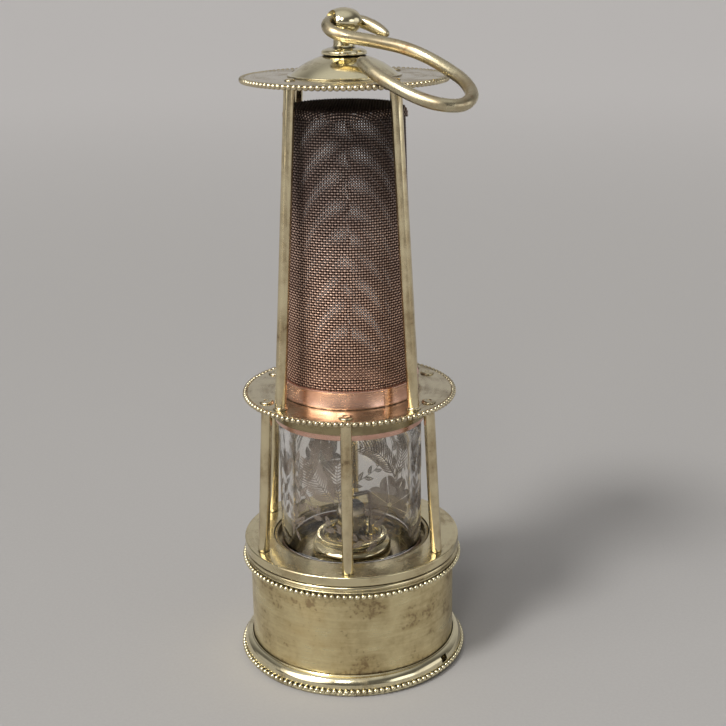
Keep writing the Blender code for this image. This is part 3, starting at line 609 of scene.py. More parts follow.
def vessel():
    """The drum's side is slightly uneven, as a hammered and worn sheet is."""

    def worn(r, z, a):
        waves = 0.035 * np.sin(3 * a + 0.7) * np.sin(z / 9)
        waves += 0.02 * np.sin(7 * a + 2) * np.sin(z / 5 + 1)
        inside = (z > 1) & (z < VESSEL_TOP - 1) & (r > VESSEL_RADIUS - 0.5)
        return r - np.where(inside, 0.05 + waves, 0), z

    inner = VESSEL_RADIUS - VESSEL_WALL
    side = [(VESSEL_RADIUS, z) for z in np.linspace(VESSEL_TOP, 0, 24)]
    turned("vessel_shell", [(inner, VESSEL_TOP)] + side + [(inner, 0)], satin, shape=worn)

    plate_radius, base_top = outer("vessel_base"), top("vessel_base")
    profile = [(0, base_top), (plate_radius, base_top), (plate_radius, 0), (30, 0), (29, 0.35)]
    profile += [(12.5, 0.35), (11.5, 0), (0, 0)]
    base = turned("vessel_base", profile, plate, closed=False)
    drill(base, PRICKER, radius=5.3, low=-2, high=4, steps=64)

    floor_z = top("vessel_top")
    profile = [(11.3, floor_z), (33.6, floor_z), (33.6, VESSEL_TOP), (plate_radius, VESSEL_TOP)]
    turned("vessel_top", profile + [(plate_radius, 36.6), (11.3, 36.6)], plate)


THREAD_PITCH = 1.5
THREAD_DEPTH = 0.75
NECK_BORE = 31.5


def thread_neck():
    """A real helical thread, which shows once the cage is unscrewed."""
    (low, high), radius = ends("thread_neck"), outer("thread_neck")

    def helix(r, z, a):
        turn = (z - low) / THREAD_PITCH - a / (2 * pi)
        groove = np.abs(2 * (turn - np.floor(turn)) - 1)
        fade = np.clip((z - low) / 0.4, 0, 1) * np.clip((high - z) / 0.4, 0, 1)
        return np.where(r > radius - 0.1, r - THREAD_DEPTH * fade * (1 - groove), r), z

    rows = np.linspace(high, low, 40)
    profile = [(NECK_BORE, high)] + [(radius, z) for z in rows] + [(NECK_BORE, low)]
    made = lathe_mesh(profile, 180, True, helix)
    piece_for("thread_neck", made, polished, sharp=radians(50))


FOOT_BEADS = 122
SLOT_ANGLE = 57
SLOT_PLACE = (41.3, 4.6)  # distance from the axis and height
SLOT_SIZE = (3.5, 5, 2.4)


def box_shape(size, place, degrees):
    """A box with its width, depth and height, turned round the lamp."""
    w, d, h = (s / 2 for s in size)
    points = [(x, y, z) for z in (-h, h) for y in (-d, d) for x in (-w, w)]
    faces = [(0, 2, 3, 1), (4, 5, 7, 6), (0, 1, 5, 4), (2, 6, 7, 3), (0, 4, 6, 2), (1, 3, 7, 5)]
    return moved((np.array(points), faces), placed(*place, degrees))


def foot():
    """A hollow-curved moulding that ends in a row of beads."""
    inner, high = VESSEL_RADIUS + 0.3, top("foot_moulding")
    bead_centre = outer("foot_moulding") - BEAD
    profile = [(inner, high), (inner + 0.35, high)]
    profile += arc(inner + 0.25, 3.05, bead_centre - inner - 0.55, high - 3.35, 82, 4, 18)
    profile += [(bead_centre - 0.3, 2.75), (bead_centre - 0.55, 2.5), (bead_centre - 0.55, 0.9)]
    profile += [(bead_centre - 0.35, 0.7), (bead_centre - 0.35, 0), (inner, 0)]
    carve(turned("foot_moulding", profile, polished), box_shape(SLOT_SIZE, SLOT_PLACE, SLOT_ANGLE))
    beads = bead_row(bead_centre, 1.07 + BEAD, FOOT_BEADS)
    piece_for("foot_moulding", beads, polished, name="foot_beads")


# ---- burner, wick and pricker

KNURLS = 128


def burner():
    """Barrel-shaped boss with an open well, a milled rim ring and the wick tube in its middle."""
    high = top("burner_boss")
    profile = [(10.4, high), (13.3, high)]
    profile += arc(13.9, 42.6, 1, 1.8, 60, -60, 16)
    profile += [(13.9, 40.3), (11, 40.3), (11, 35.6), (6.1, 35.6), (6.1, 41.8), (10.4, 41.8)]
    boss = turned("burner_boss", profile, polished, steps=160)
    drill(boss, PRICKER, radius=2, low=30, high=46, steps=40)

    low, high = ends("burner_ring")

    def milled(r, z, a):
        groove = 0.5 * (1 - np.cos(KNURLS * a))
        crest = np.clip((r - 10.9) / 0.5, 0, 1) * np.clip((z - low) / 0.8, 0, 1)
        return np.where(r > 12, r - 0.3 * groove, r), z - 0.28 * groove * crest

    profile = [(10.6, high - 0.5), (11, high - 0.1), (11.7, high)]
    profile += arc(12.3, high - 0.7, 1, 0.7, 85, 0, 8) + arc(12.3, low + 0.5, 1, 0.5, 0, -80, 4)
    turned("burner_ring", profile + [(10.6, low)], polished, steps=KNURLS * 8, shape=milled)

    low, high = ends("wick_tube")
    tube = [(5.3, high), (5.8, high), (5.8, high - 1.1), (5.72, high - 1.4), (5.72, low), (5.3, low)]
    turned("wick_tube", tube, plate, steps=96, soft=0.1)

    def braided(r, z, a):
        plaits = np.sin(9 * a + z * 2.2) * np.sin(9 * a - z * 2.2)
        burnt = z > WICK_TOP - 2.2
        ragged = 0.22 * np.sin(5 * a + 1) * np.sin(r * 1.9) - 0.25
        return r * (1 - 0.035 * (1 - np.abs(plaits))), z + ragged * burnt

    low, radius, crown = bottom("wick"), 5, 2
    profile = arc(0, WICK_TOP - crown, radius, crown, 90, 3, 14)
    profile += [(radius, z) for z in np.linspace(WICK_TOP - crown, low, 150)] + [(0, low)]
    made = lathe_mesh(profile, 72, shape=braided)
    piece_for("wick", made, cotton, "cotton", sharp=radians(60))


def pricker():
    """The trimming wire, its guide tube and well, and the knurled knob under the vessel."""
    guide = [(1.2, 43.6), (1.7, 43.6), (1.7, 8), (5, 8), (5, 0.3), (4.4, 0.3), (4.4, 7.4), (1.2, 7.4)]
    turned("pricker_guide", guide, plate, steps=64, soft=0.1, place=PRICKER)
    ring("pricker_bush", 1.1, 1.7, polished, steps=48, soft=0.15, place=PRICKER)

    def gripped(r, z, a):
        return np.where(r > 3.3, r - 0.11 * (1 - np.cos(28 * a)), r), z

    knob = [(0, 4), (3.1, 4), (3.6, 3.6), (3.6, 1.4), (3.1, 1), (2.2, 1), (1.9, 1.25), (0, 1.25)]
    knob = moved(rod(knob, 0.12, 224, gripped), shift(*PRICKER))
    high = top("pricker") - 0.8
    towards = Vector(round_the_lamp(-1, 120))
    bend = arc(1.8, high - 1.8, 1.8, 1.8, 180, 90, 13)
    route = [(0, z) for z in np.linspace(3.4, high - 2.2, 24)] + bend
    route += [(along, high) for along in (2.6, 4, 5.4, 6.5, 6.9, 7.1, 7.18, 7.2)]
    line = [(PRICKER.x + along * towards.x, PRICKER.y + along * towards.y, z) for along, z in route]
    radii = [0.8] * (len(line) - 4) + [0.72, 0.55, 0.35, 0.12]
    wire = sweep(line, radii, 16, up=(1, 0, 0))
    piece_for("pricker", merged(wire, knob), steel, "steel")


# ---- lower ring, glass and its seats

LOWER_BEADS = 113
PILLAR = 2.05  # the pillars' radius
LOWER_PILLARS = 6
LOWER_FOOT, LOWER_HEAD = 36.7, 33.4  # how far from the axis the lower pillars start and end


def lower_ring():
    high = top("lower_ring")
    bead_centre = outer("lower_ring") - BEAD + 0.4
    profile = [(29.6, high), (40.3, high), (40.6, high - 0.3), (40.6, 43.5), (40.4, 43.3), (39.8, 43.2)]
    profile += [(39.8, 42.95), (40.4, 42.8), (40.65, 42.3), (40.6, 41.8), (40.35, 41.55), (39.9, 41.4)]
    profile += [(39.9, 41.1), (40.5, 40.7), (40.5, 40.4), (40.2, 40.2), (40.2, 38.6), (39.9, 38.4)]
    profile += [(39.26, 38.4), (39.26, 39.5), (34, 39.5), (34, 44.5), (29.6, 44.5)]
    piece = turned("lower_ring", profile, satin_ring, soft=0.2)
    for index in range(LOWER_PILLARS):
        place = round_the_lamp(LOWER_FOOT, 360 / LOWER_PILLARS * index)
        drill(piece, place, radius=1.7, low=42.5, high=50, steps=32)
    piece_for("lower_ring", bead_row(bead_centre, 39.2, LOWER_BEADS), polished, name="lower_ring_beads")

    def pressed(r, z, a):
        return r + np.where(r > 36, 0.05 * np.sin(11 * a) * np.sin(5 * a + 1), 0), z

    ring("seal_washer", 34.3, 38.3, leather, slot="leather", shape=pressed, soft=0.15)

    low, high = ends("glass_seat_ring")
    seat = [(28.15, high), (29.3, high), (29.3, low), (24.5, low), (24.5, 43.4), (28.15, 43.4)]
    turned("glass_seat_ring", seat, dull_shaded_brass, name="glass_seat_fine", soft=0.2)
    for name, inner in (("glass_gasket_lower", 24.2), ("glass_gasket_upper", 23)):
        ring(name, inner, 26.5, leather, slot="leather", soft=0.25)


GLASS_RADIUS = outer("glass_cylinder")
GLASS_LOW, GLASS_HIGH = ends("glass_cylinder")
GLASS_WALL = 3.5


def lamp_glass():
    """Thick drawn glass: nearly true, with ground and fire-polished ends."""

    def drawn(r, z, a):
        return r + 0.02 * np.sin(2 * a + z / 14) - 0.02, z

    rows = np.linspace(GLASS_HIGH, GLASS_LOW, 10)
    profile = [(GLASS_RADIUS, z) for z in rows] + [(GLASS_RADIUS - GLASS_WALL, z) for z in rows[::-1]]
    turned("glass_cylinder", profile, glass, "glass", shape=drawn, soft=0.5)

    cap = [(23, 97.6), (27.7, 97.6), (27.7, 93.5), (26.8, 93.5), (26.8, 96.5), (23, 96.5)]
    turned("glass_cap_ring", cap, copper, "copper", name="glass_cap_fine", soft=0.2)
    ring("glass_collar", 28, 29, dull_shaded_brass, soft=0.2)


# The engraving is drawn in millimetres: s round the glass from its front, h up from its foot.
ENGRAVING_OUT = 0.03
ENGRAVING_DEEP = 0.03


def wrap(points_sh, out):
    """(s, h) points laid on the glass, out being how far they stand off it."""
    p = np.asarray(points_sh, float)
    radius = GLASS_RADIUS + out
    a = p[:, 0] / GLASS_RADIUS
    return np.stack([radius * np.sin(a), -radius * np.cos(a), GLASS_LOW + p[:, 1]], -1)


def slab(grid):
    """A thin closed piece from a grid of (s, h) points, rows by columns."""
    rows, columns = grid.shape[:2]
    flat = grid.reshape(-1, 2)
    verts = np.concatenate([wrap(flat, ENGRAVING_OUT + ENGRAVING_DEEP), wrap(flat, ENGRAVING_OUT)])
    under = rows * columns
    faces = []
    for i in range(rows - 1):
        for j in range(columns - 1):
            a, d = i * columns + j, (i + 1) * columns + j
            b, c = a + 1, d + 1
            faces += [(a, b, c, d), (d + under, c + under, b + under, a + under)]
    edge = [(0, j) for j in range(columns)] + [(i, columns - 1) for i in range(1, rows)]
    edge += [(rows - 1, j) for j in range(columns - 2, -1, -1)] + [(i, 0) for i in range(rows - 2, 0, -1)]
    loop = [i * columns + j for i, j in edge]
    for a, b in zip(loop, loop[1:] + loop[:1]):
        faces.append((b, a, a + under, b + under))
    return verts, faces


def ribbon(points, widths):
    """A stroke of changing width along (s, h) points."""
    p = np.array(points, float)
    along = np.gradient(p, axis=0)
    along /= np.linalg.norm(along, axis=1)[:, None] + 1e-9
    side = np.stack([-along[:, 1], along[:, 0]], -1)
    w = np.asarray(widths, float)[:, None] / 2
    return slab(np.stack([p + side * w, p - side * w], 1))


def spine_from(base, angles, length):
    """Points of even spacing from the base, each step in the way that its angle says."""
    steps = np.stack([np.cos(angles), np.sin(angles)], -1)[:-1] * length / (len(angles) - 1)
    return np.array(base) + np.concatenate([[[0, 0]], np.cumsum(steps, 0)])


def leaf(base, degrees, length, width, bend=0):
    """A pointed leaf, split down its middle by a clear vein."""
    t = np.linspace(0, 1, 12)
    angle = np.radians(degrees + bend * t)
    spine = spine_from(base, angle, length)
    side = np.stack([-np.sin(angle), np.cos(angle)], -1)
    half = (width / 2 * np.sin(np.pi * t**0.8) ** 0.9 + 0.03)[:, None]
    vein = 0.05 * width * (1 - t)[:, None] + 0.015
    return [slab(np.stack([spine + side * half, spine + side * vein], 1)),
            slab(np.stack([spine - side * vein, spine - side * half], 1))]


def stroke(base, degrees, length, width, bend):
    """One short tapering cut of the wheel."""
    t = np.linspace(0, 1, 7)
    spine = spine_from(base, np.radians(degrees + bend * t), length)
    return ribbon(spine, width * np.sin(np.pi * (0.08 + 0.88 * t)) ** 0.7)


def heading(line, index):
    return np.degrees(atan2(*(line[index + 1] - line[index])[::-1]))


def fern(points, size, pairs, lean=50, width=0.55):
    """A frond: a curved stem with close pairs of narrow cuts that shorten towards its tip."""
    line = np.array(smooth_line(points, 12))
    made = [ribbon(line, np.linspace(0.55, 0.18, len(line)))]
    for index in range(pairs):
        t = 0.1 + 0.88 * index / pairs
        at = t * (len(line) - 1)
        i = min(int(at), len(line) - 2)
        place = line[i] + (line[i + 1] - line[i]) * (at - i)
        length = size * sin(pi * (0.22 + 0.7 * t)) ** 0.8
        for sign in (-1, 1):
            made.append(stroke(place, heading(line, i) + sign * lean, length, width, -sign * 22))
    return made


def lobed_leaf(centre, size, degrees, lobes, depth):
    """A broad leaf of rounded lobes with cut veins between them."""
    made = []
    span = 300 / lobes
    for lobe in range(lobes):
        middle = degrees - 150 + span * (lobe + 0.5)
        reach = size * (1 - 0.16 * abs(lobe - (lobes - 1) / 2) / ((lobes - 1) / 2))
        for side in (-1, 1):
            turns = np.linspace(0.03, 0.5, 9) * span * side
            radii = np.linspace(0.1, 1, 9)
            grid = []
            for q in radii:
                edge = reach * (1 - depth * (np.abs(turns) / (span / 2)) ** 2.4)
                angle = np.radians(middle + turns)
                out = q * edge
                grid.append(np.stack([centre[0] + out * np.cos(angle), centre[1] + out * np.sin(angle)], -1))
            made.append(slab(np.array(grid)))
    return made


def sprig(points, leaves, length, width):
    """A thin curving stem with leaves on alternate sides and one at its end."""
    line = np.array(smooth_line(points, 12))
    made = [ribbon(line, np.linspace(0.5, 0.2, len(line)))]
    for index in range(leaves):
        i = int((0.15 + 0.85 * index / leaves) * (len(line) - 2))
        sign = 1 if index % 2 else -1
        shrink = 1 - 0.35 * index / leaves
        made += leaf(line[i], heading(line, i) + sign * 42, length * shrink, width * shrink, -sign * 24)
    return made + leaf(line[-1], heading(line, -2), length * 0.8, width * 0.7)


def bud(base, degrees, size):
    """A half-open flower of three long petals."""
    made = []
    for turn, length in ((-24, 0.85), (0, 1), (24, 0.85)):
        made += leaf(base, degrees + turn, size * length, size * 0.33, turn * 0.7)
    return made


def engraving():
    """A band of ferns, sprigs, broad leaves and buds that repeats twice round the glass."""
    drawn = [
        *fern([(-4.4, 23.5), (-8, 27.5), (-12.2, 33), (-15.3, 40)], 8.6, 17, lean=56, width=0.75),
        *fern([(-3, 23.5), (-3.6, 29), (-3.8, 35), (-3, 41)], 5.2, 13, lean=58),
        *lobed_leaf((15.7, 21.5), 11.6, 95, 7, 0.22),
        *fern([(18, 32), (15, 38), (10.5, 43), (4.2, 46)], 5.8, 16, width=0.65),
        *fern([(18.4, 32), (20.8, 37), (21.6, 42), (20.6, 47)], 4.8, 11),
        *lobed_leaf((-9.6, 43.5), 5.6, 90, 5, 0.2),
        *sprig([(-24, 8), (-21, 16), (-19.2, 25), (-20.4, 35), (-22.5, 45)], 10, 6.6, 2.5),
        *bud((-27.6, 29.5), 95, 11),
        *sprig([(-27.6, 29.5), (-27, 22), (-25, 15), (-22, 10)], 5, 5.6, 2),
        *sprig([(17, 11.5), (9, 8.5), (0, 10.5), (-9, 16.5), (-14.5, 23)], 12, 5.8, 2.2),
        *sprig([(25.5, 10), (29, 18), (31, 27), (28.5, 38)], 9, 6.2, 2.3),
        *fern([(24, 9), (28, 7.2), (33, 7.2), (37.5, 9.5)], 4, 14),
        *bud((34.6, 13), 80, 10),
        *lobed_leaf((38.2, 32), 7.4, 92, 6, 0.24),
        *fern([(27.5, 37.5), (30, 41.5), (34, 44.5), (39.5, 46.5)], 4.8, 13),
        *sprig([(-37, 8), (-35.2, 17), (-34, 27), (-35.5, 39)], 8, 6, 2.2),
    ]
    repeats = [moved(shape, Matrix.Rotation(turn, 4, "Z")) for turn in (0, pi) for shape in drawn]
    piece_for("glass_cylinder", merged(*repeats), frosted, "glass", name="glass_engraving", weld=False)


# ---- deck, pillars, hood

RIM_BEADS = 108  # on the deck and on the hood
UPPER_ANGLES = (45, 135, 225, 315)
UPPER_FOOT, UPPER_HEAD = 33.15, 24.8
DECK_HALF, HOOD_HALF = 0.65, 0.8  # half of each plate's thickness

COLLAR_SEAM = 33  # its angle
DECK_TOP = middle_of("deck_plate") + DECK_HALF
HOOD_TOP = middle_of("hood_plate") + HOOD_HALF


def beaded_plate(name, half, hole, flat, bead_size, bead_share):
    """A thin plate with a softened edge and a row of beads round its rim."""
    node = name + "_plate"
    middle = middle_of(node)
    centre = outer(node) - BEAD
    profile = [(hole, middle + half), (flat, middle + half), (centre - 0.45, middle + 0.3)]
    profile += [(centre - 0.45, middle - 0.3), (flat, middle - half), (hole, middle - half)]
    turned(node, profile, plate, name=name + "_fine", soft=0.2)
    beads = bead_row(centre, middle, RIM_BEADS, bead_size, bead_share)
    piece_for(node, beads, plate, name=name + "_beads")


def leaning(shape, foot, head, low, high, degrees):
    """A shape on the Z axis sheared so that it leans in towards the lamp, then put in its place."""
    points, faces = shape
    points = np.array(points)
    points[:, 1] += (foot - head) * (points[:, 2] - low) / (high - low)
    return moved((points, faces), placed(foot, 0, degrees))


def pillars():
    low, high = top("lower_ring"), DECK_TOP - 2 * DECK_HALF
    profile = [(0, high - 5.3), (1.4, high - 5.3), (1.4, high - 0.05), (PILLAR, high - 0.05)]
    profile += [(PILLAR, z) for z in np.linspace(high - 1, low + 1.2, 30)]
    profile += [(PILLAR, low + 0.03), (1.3, low + 0.03), (1.3, low - 3.3), (0, low - 3.3)]
    pillar = rod(profile, 0.12, ROD_STEPS)
    head = [(0, DECK_TOP + 0.45), (0.7, DECK_TOP + 0.5), (1.1, DECK_TOP + 0.75)]
    head += arc(1.3, DECK_TOP + 0.2, 1.25, 0.6, 85, 0, 8)
    head += [(2.55, DECK_TOP), (1.1, DECK_TOP), (1.1, DECK_TOP - 6), (0, DECK_TOP - 6)]
    screw = rod(head, 0.1, ROD_STEPS)
    for index in range(LOWER_PILLARS):
        degrees = 360 / LOWER_PILLARS * index
        made = leaning(pillar, LOWER_FOOT, LOWER_HEAD, low, high, degrees)
        piece_for(f"lower_pillar_{index + 1}", made, bar)
        made = leaning(screw, LOWER_HEAD, LOWER_HEAD, 0, 1, degrees)
        piece_for(f"deck_screw_{index + 1}", made, plate)

    low, high = DECK_TOP, HOOD_TOP - 2 * HOOD_HALF
    profile = arc(0, HOOD_TOP, 1.9, 0.9, 90, 4, 8)
    profile += [(1.3, HOOD_TOP), (1.3, high - 0.1), (PILLAR, high - 0.1)]
    profile += [(PILLAR, z) for z in np.linspace(high - 1.2, low + 1.5, 50)]
    profile += [(PILLAR, low + 0.7), (2.25, low + 0.5), (2.7, low + 0.45), (2.7, low + 0.02)]
    profile += [(1.3, low + 0.02), (1.3, low - 1.3), (0, low - 1.3)]
    pillar = rod(profile, 0.2, ROD_STEPS)
    for index, degrees in enumerate(UPPER_ANGLES):
        made = leaning(pillar, UPPER_FOOT, UPPER_HEAD, low, high, degrees)
        piece_for(f"upper_pillar_{index + 1}", made, bar)


def deck_and_hood():
    beaded_plate("deck", DECK_HALF, hole=22.8, flat=37.5, bead_size=1.04, bead_share=0.96)
    beaded_plate("hood", HOOD_HALF, hole=8.5, flat=34.3, bead_size=1.05, bead_share=1.12)

    low, high = ends("gauze_collar")
    rim, foot_z = 25.5, DECK_TOP + 0.01
    collar = [(23.9, high), (rim, high), (rim, high - 0.55), (rim - 0.08, high - 0.7)]
    collar += [(rim - 0.08, foot_z + 1), (rim, foot_z + 0.8), (rim, foot_z), (22.5, foot_z)]
    collar += [(22.5, low), (21.5, low), (21.5, 105.7), (23.9, 105.7)]
    seam = box_shape((1.6, 0.3, high - foot_z), (rim - 0.06, (high + foot_z) / 2), COLLAR_SEAM)
    turned("gauze_collar", collar, copper, "copper", soft=0.18, extra=(seam,))

    rim, low, crown = 18.7, HOOD_TOP + 0.01, top("hood_dome")
    flange = low + 0.5
    height = crown - flange
    sphere = (rim * rim + height * height) / (2 * height)
    centre = crown - sphere
    spread = [np.degrees(acos(r / sphere)) for r in (2.5, rim)]
    profile = arc(0, centre, sphere, sphere, *spread, 36)
    profile += [(rim + 0.25, flange + 0.02), (19.7, flange), (19.7, low)]
    inner = sphere - 1
    spread = [np.degrees(acos(r / inner)) for r in (sqrt(inner**2 - (low - centre) ** 2), 2.5)]
    profile += arc(0, centre, inner, inner, *spread, 24)
    turned("hood_dome", profile, polished, steps=200, soft=0.1)

    low, high = ends("swivel_washer")
    washer = [(2.5, high), (5.6, high), (7.3, high - 0.6), (7.85, high - 1.15), (7.85, low - 0.95)]
    washer += [(7.5, low - 1.05), (5.2, low), (2.5, low)]
    turned("swivel_washer", washer, polished, steps=96, soft=0.15)


# ---- wire gauze

WARP_PITCH, WEFT_PITCH, CAP_PITCH = 0.985, 0.945, 0.98
WEAVE_SIDES = 5
SEAM_LAP, SEAM_LIFT = 0.04, 0.25  # how far round the sheet laps over itself at the back, and stands out there


def strands(points, outwards, inside):
    """Wires along the second axis of a grid of points, wherever both ends of a span are inside."""
    tangent = np.gradient(points, axis=1)
    tangent /= np.linalg.norm(tangent, axis=2)[..., None]
    side = np.cross(tangent, outwards)
    side /= np.linalg.norm(side, axis=2)[..., None]
    out = np.cross(side, tangent)
    turns = np.linspace(0, 2 * pi, WEAVE_SIDES, endpoint=False)[:, None] + pi / 2
    rings = points[:, :, None] + WIRE * (side[:, :, None] * np.cos(turns) + out[:, :, None] * np.sin(turns))
    number = np.arange(rings.size // 3).reshape(rings.shape[:3])
    span = inside[:, :-1] & inside[:, 1:]
    near, far = number[:, :-1][span], number[:, 1:][span]
    faces = np.stack([near, np.roll(near, -1, 1), np.roll(far, -1, 1), far], -1).reshape(-1, 4)
    used, faces = np.unique(faces, return_inverse=True)
    return rings.reshape(-1, 3)[used], faces.reshape(-1, 4).tolist()


def weave(points, outwards, inside):
    """Warp wires along a grid's rows and straighter weft wires along its columns, over and under in turn."""
    columns, rows = np.indices(inside.shape)
    over = np.where((columns + rows) % 2, 1, -1)[..., None] * outwards
    warp = strands(points + WARP_WAVE * over, outwards, inside)
    weft = strands((points - WEFT_WAVE * over).transpose(1, 0, 2), outwards.transpose(1, 0, 2), inside.T)
    return warp, weft


def rolled_sheet():
    """Flat gauze of even pitch rolled into a cone, so that its wires run straight in the sheet."""
    slope = (GAUZE_FOOT - GAUZE_HEAD) / (GAUZE_TOP - GAUZE_BOTTOM)
    lean = atan(slope)
    turn = sin(lean)
    apex = GAUZE_BOTTOM + (GAUZE_FOOT - WIRE - WARP_WAVE) / slope
    longest = (apex - GAUZE_BOTTOM - 0.2) / cos(lean)
    shortest = (apex - GAUZE_TOP + 0.3) / cos(lean)
    widest = int(longest * sin((pi + SEAM_LAP) * turn) / WARP_PITCH)
    across = np.arange(-widest, widest + 1) * WARP_PITCH
    deepest = int((longest - shortest * cos(pi * turn)) / WEFT_PITCH) + 2
    across, down = np.meshgrid(across, longest - np.arange(deepest) * WEFT_PITCH, indexing="ij")
    reach = np.hypot(across, down)
    angle = np.arctan2(across, down) / turn
    inside = (angle > -pi) & (angle < pi + SEAM_LAP) & (reach < longest) & (reach > shortest)
    lap = np.clip((angle - pi + 3 * SEAM_LAP) / (3 * SEAM_LAP), 0, 1)
    radius = reach * turn + SEAM_LIFT * lap
    outwards = np.stack([np.sin(angle), -np.cos(angle), np.zeros_like(angle)], -1)
    points = radius[..., None] * outwards
    points[..., 2] = apex - reach * cos(lean)
    return weave(points, outwards, inside)


def draped_cap():
    """A round of gauze folded down over the rim by hand, less far at the front and unevenly."""
    turned_down = CAP_FOLD * pi / 2
    deep = CAP_FLAT + turned_down + CAP_HIGH - CAP_FOLD - bottom("gauze_cap")
    count = int(deep / CAP_PITCH) + 1
    line = np.arange(-count, count + 1) * CAP_PITCH
    x, y = np.meshgrid(line, line, indexing="ij")
    reach, angle = np.hypot(x, y), np.arctan2(x, -y)
    fold = np.clip((reach - CAP_FLAT) / CAP_FOLD, 0, pi / 2)
    radius = np.minimum(reach, CAP_FLAT) + CAP_FOLD * np.sin(fold)
    round_it = np.stack([np.sin(angle), -np.cos(angle)], -1)
    outwards = np.concatenate([round_it * np.sin(fold)[..., None], np.cos(fold)[..., None]], -1)
    z = CAP_HIGH - CAP_FOLD * (1 - np.cos(fold)) - np.maximum(reach - CAP_FLAT - turned_down, 0)
    points = np.concatenate([round_it * radius[..., None], z[..., None]], -1)
    edge = deep - CAP_SHORT * np.clip(np.cos(angle), 0, 1) ** 0.5 + 0.2 * np.sin(5 * angle + 1)
    return weave(points, outwards, reach < edge)


def gauze_chimney():
    """A plain-woven cone of wire, and over its top a woven cap with a folded-down band."""
    warp, weft = rolled_sheet()
    as_woven = {"slot": "gauze", "sharp": None, "weld": False}
    piece_for("gauze_cylinder", warp, gauze_warp, name="gauze_warp", **as_woven)
    piece_for("gauze_cylinder", weft, gauze_weft, name="gauze_weft", **as_woven)
    piece_for("gauze_cap", merged(*draped_cap()), gauze_cap, **as_woven)


# ---- swivel eye and hook

SWIVEL_TURN = radians(25)
HOOK_TILT = radians(23.4)
EYE_RADIUS, EYE_HALF = 6.6, 4.6
EYE_Z = top("swivel_eye") - EYE_HALF
HOOK_WIRE = 2.15  # the hook's radius
HOOK_LINE = (
    (11.9, 11.2), (10.5, 7.8), (8.6, 4), (6.2, 1), (3.2, 0), (0, 0), (-3, 0),
    (-5.7, 0.9), (-7.3, 3.8), (-6.8, 7.6), (-4.2, 10.6), (0, 12.9), (6.6, 16.2), (13.2, 20.5),
    (18.7, 27.4), (22.6, 36.5), (24.6, 45.5), (23, 54.3), (17, 59.6), (9.8, 58.5), (4.2, 53.5),
    (0, 46.2), (-3.2, 38.4), (-4.7, 32), (-5, 27.4),
)
# How thick each end of the hook is by the distance from it, as shares of its radius.
STUB_TAPER = ((0, 0.3), (0.6, 0.52), (2, 0.72), (4.5, 0.9), (7, 1))
TIP_TAPER = ((0, 0.3), (0.5, 0.62), (1.6, 0.86), (3, 1))


def swivel_and_hook():
    stem = top("swivel_washer") + 0.3 - EYE_Z
    spigot = bottom("swivel_eye") - EYE_Z
    neck = -np.degrees(acos(3.5 / EYE_RADIUS))
    profile = arc(0, 0, EYE_RADIUS, EYE_HALF, 90, neck, 40)
    profile += [(3.7, stem + 0.5), (4.1, stem), (2.2, stem), (2.2, spigot), (0, spigot)]
    swivel = shift(0, 0, EYE_Z) @ Matrix.Rotation(SWIVEL_TURN, 4, "Z")
    eye = piece_for("swivel_eye", moved(rod(profile, 0.2, 96), swivel), polished)
    half = [(2.6, 2.2), (2.75, 2.6), (3.4, 3.5), (4.6, 4.6), (12, 4.6), (12, 12)]
    cutter = [(0, -12)] + [(r, -s) for r, s in reversed(half)] + half + [(0, 12)]
    across = swivel @ Matrix.Rotation(pi / 2, 4, "Y")
    carve(eye, moved(lathe_mesh(cutter, 72), across))

    line = np.array(smooth_line(HOOK_LINE, 9))
    run = np.concatenate([[0], np.cumsum(np.linalg.norm(np.diff(line, axis=0), axis=1))])
    stub = np.interp(run, *zip(*STUB_TAPER))
    tip = np.interp(run[-1] - run, *zip(*TIP_TAPER))
    uneven = 1 + 0.012 * np.sin(run / 7) + 0.008 * np.sin(run / 2.9 + 1)
    radii = HOOK_WIRE * np.minimum(stub, tip) * uneven
    points = np.stack([line[:, 0], -line[:, 1], np.zeros(len(line))], -1)
    made = moved(sweep(points, radii, 28), swivel @ Matrix.Rotation(HOOK_TILT, 4, "X"))
    piece_for("hook", made, ring_brass, sharp=radians(60))

    nut = frame["nodes"]["swivel_nut"]
    nut.data.materials.clear()
    nut.data.materials.append(plate)


vessel()
thread_neck()
foot()
burner()
pricker()
lower_ring()
lamp_glass()
engraving()
deck_and_hood()
pillars()
gauze_chimney()
swivel_and_hook()


# ---- floor, light and camera

FLOOR_HALF = 14  # metres, as is the gap under the base
FLOOR_GAP = 0.0002


def floor_material():
    material, shader, place = new_material("studio_floor")
    grain = noise(place, 900, 3, 0.6)
    away = output("Value", place.tree, "VectorMath", {0: place}, operation="LENGTH")
    # Painted light: the floor's colour is darker near the lamp and lighter further away, a gradient of light
    # painted into it.
    base = mixed(remap(away, 0.35, 2.2), (0.375, 0.366, 0.359), (0.475, 0.463, 0.46))
    colour = mixed(remap(grain, 0.3, 0.7, 0, 0.06), base, (0.62, 0.61, 0.6))
    set_inputs(shader, Base_Color=colour, Roughness=remap(grain, 0.3, 0.7, 0.85, 0.95),
               Specular_IOR_Level=0.1, Normal=bumped((grain, 0.2, 0.0002)))
    return material


def floor():
    mesh = bpy.data.meshes.new("studio_floor")
    h = FLOOR_HALF
    mesh.from_pydata([(-h, -h, 0), (h, -h, 0), (h, h, 0), (-h, h, 0)], [], [(0, 1, 2, 3)])
    mesh.materials.append(floor_material())
    made = new_object("studio_floor", mesh)
    made.location.z = -FLOOR_GAP


def from_front(azimuth, elevation):
    """The direction at an azimuth, from the front towards +X, and an elevation, both in degrees."""
    a, e = radians(azimuth), radians(elevation)
    return Vector((sin(a) * cos(e), -cos(a) * cos(e), sin(e)))


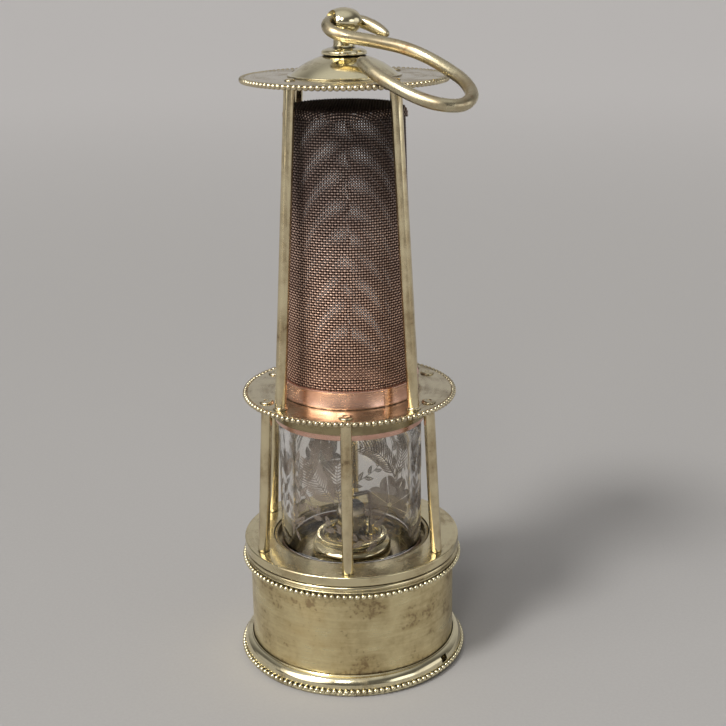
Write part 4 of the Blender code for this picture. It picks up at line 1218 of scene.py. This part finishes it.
def light(name, kind, place, towards, power, colour):
    data = bpy.data.lights.new(name, kind)
    data.energy, data.color = power, colour
    lamp = new_object(name, data)
    lamp.location = place
    lamp.rotation_mode = "QUATERNION"
    lamp.rotation_quaternion = (Vector(towards) - lamp.location).to_track_quat("-Z", "Y")
    return data


def sun(name, azimuth, elevation, strength, spread, colour):
    """A distant soft light, as many degrees across as spread."""
    data = light(name, "SUN", from_front(azimuth, elevation) * 2, (0, 0, 0), strength, colour)
    data.angle = radians(spread)


def softbox(name, place, towards, size, power, colour):
    data = light(name, "AREA", place, towards, power, colour)
    data.shape, data.size, data.size_y = "RECTANGLE", *size


# Soft patches of light seen from the lamp: direction, the cosines where each starts and is full, and colour.
LIGHT_PATCHES = (
    ((-0.1, -0.1, 0.98), 0.62, 0.97, (0.6, 0.595, 0.59)),
    ((-0.68, -0.58, 0.45), 0.895, 0.935, (2.85, 2.76, 2.62)),
    ((0.78, -0.6, 0.16), 0.955, 0.975, (1.55, 1.56, 1.56)),
    ((0.05, 0.97, 0.2), 0.45, 0.95, (0.44, 0.43, 0.43)),
    ((-0.97, 0.1, 0.18), 0.93, 0.97, (0.4, 0.39, 0.39)),
    ((0.98, -0.05, 0.14), 0.91, 0.96, (0.95, 0.93, 0.92)),
)
ROOM = (0.12, 0.116, 0.112)
BACKDROP = (0.43, 0.42, 0.41)


def studio_world():
    """A dim room whose patches of light show in the lamp's reflections, behind a plain backdrop."""
    world = bpy.data.worlds.new("studio")
    world.use_nodes = True
    tree = world.node_tree
    direction = output("Generated", tree, "TexCoord")
    colour = ROOM
    for towards, start, full, patch in LIGHT_PATCHES:
        aims = {0: direction, 1: Vector(towards).normalized()}
        near = output("Value", tree, "VectorMath", aims, operation="DOT_PRODUCT")
        colour = mixed(remap(near, start, full), colour, patch)
    colour = mixed(output("Is Camera Ray", tree, "LightPath"), colour, BACKDROP)
    put(colour, tree.nodes["Background"].inputs["Color"])
    bpy.context.scene.world = world


CAMERA_PLACE = (0.01966, -0.45941, 0.2587)
CAMERA_AZIMUTH, CAMERA_HIGH, CAMERA_ROLL = 1.81, 17.52, -0.71  # in degrees
CAMERA_LENS = 65.12


def camera():
    data = bpy.data.cameras.new("camera")
    data.lens, data.sensor_width = CAMERA_LENS, 36
    data.clip_start, data.clip_end = 0.01, 60
    made = new_object("camera", data)
    back = from_front(CAMERA_AZIMUTH, CAMERA_HIGH)
    right = from_front(CAMERA_AZIMUTH + 90, 0)
    upright = Matrix((right, back.cross(right), back)).transposed().to_4x4()
    roll = Matrix.Rotation(radians(CAMERA_ROLL), 4, "Z")
    made.matrix_world = Matrix.Translation(CAMERA_PLACE) @ upright @ roll
    bpy.context.scene.camera = made


floor()
studio_world()
sun("key", -44, 49, 1.68, 13, (1, 0.985, 0.96))
softbox("front", (-0.16, -0.95, 0.85), (0, 0, 0.13), (0.22, 0.5), 3.2, (1, 0.97, 0.93))
camera()
bpy.context.scene.view_settings.view_transform = "Standard"
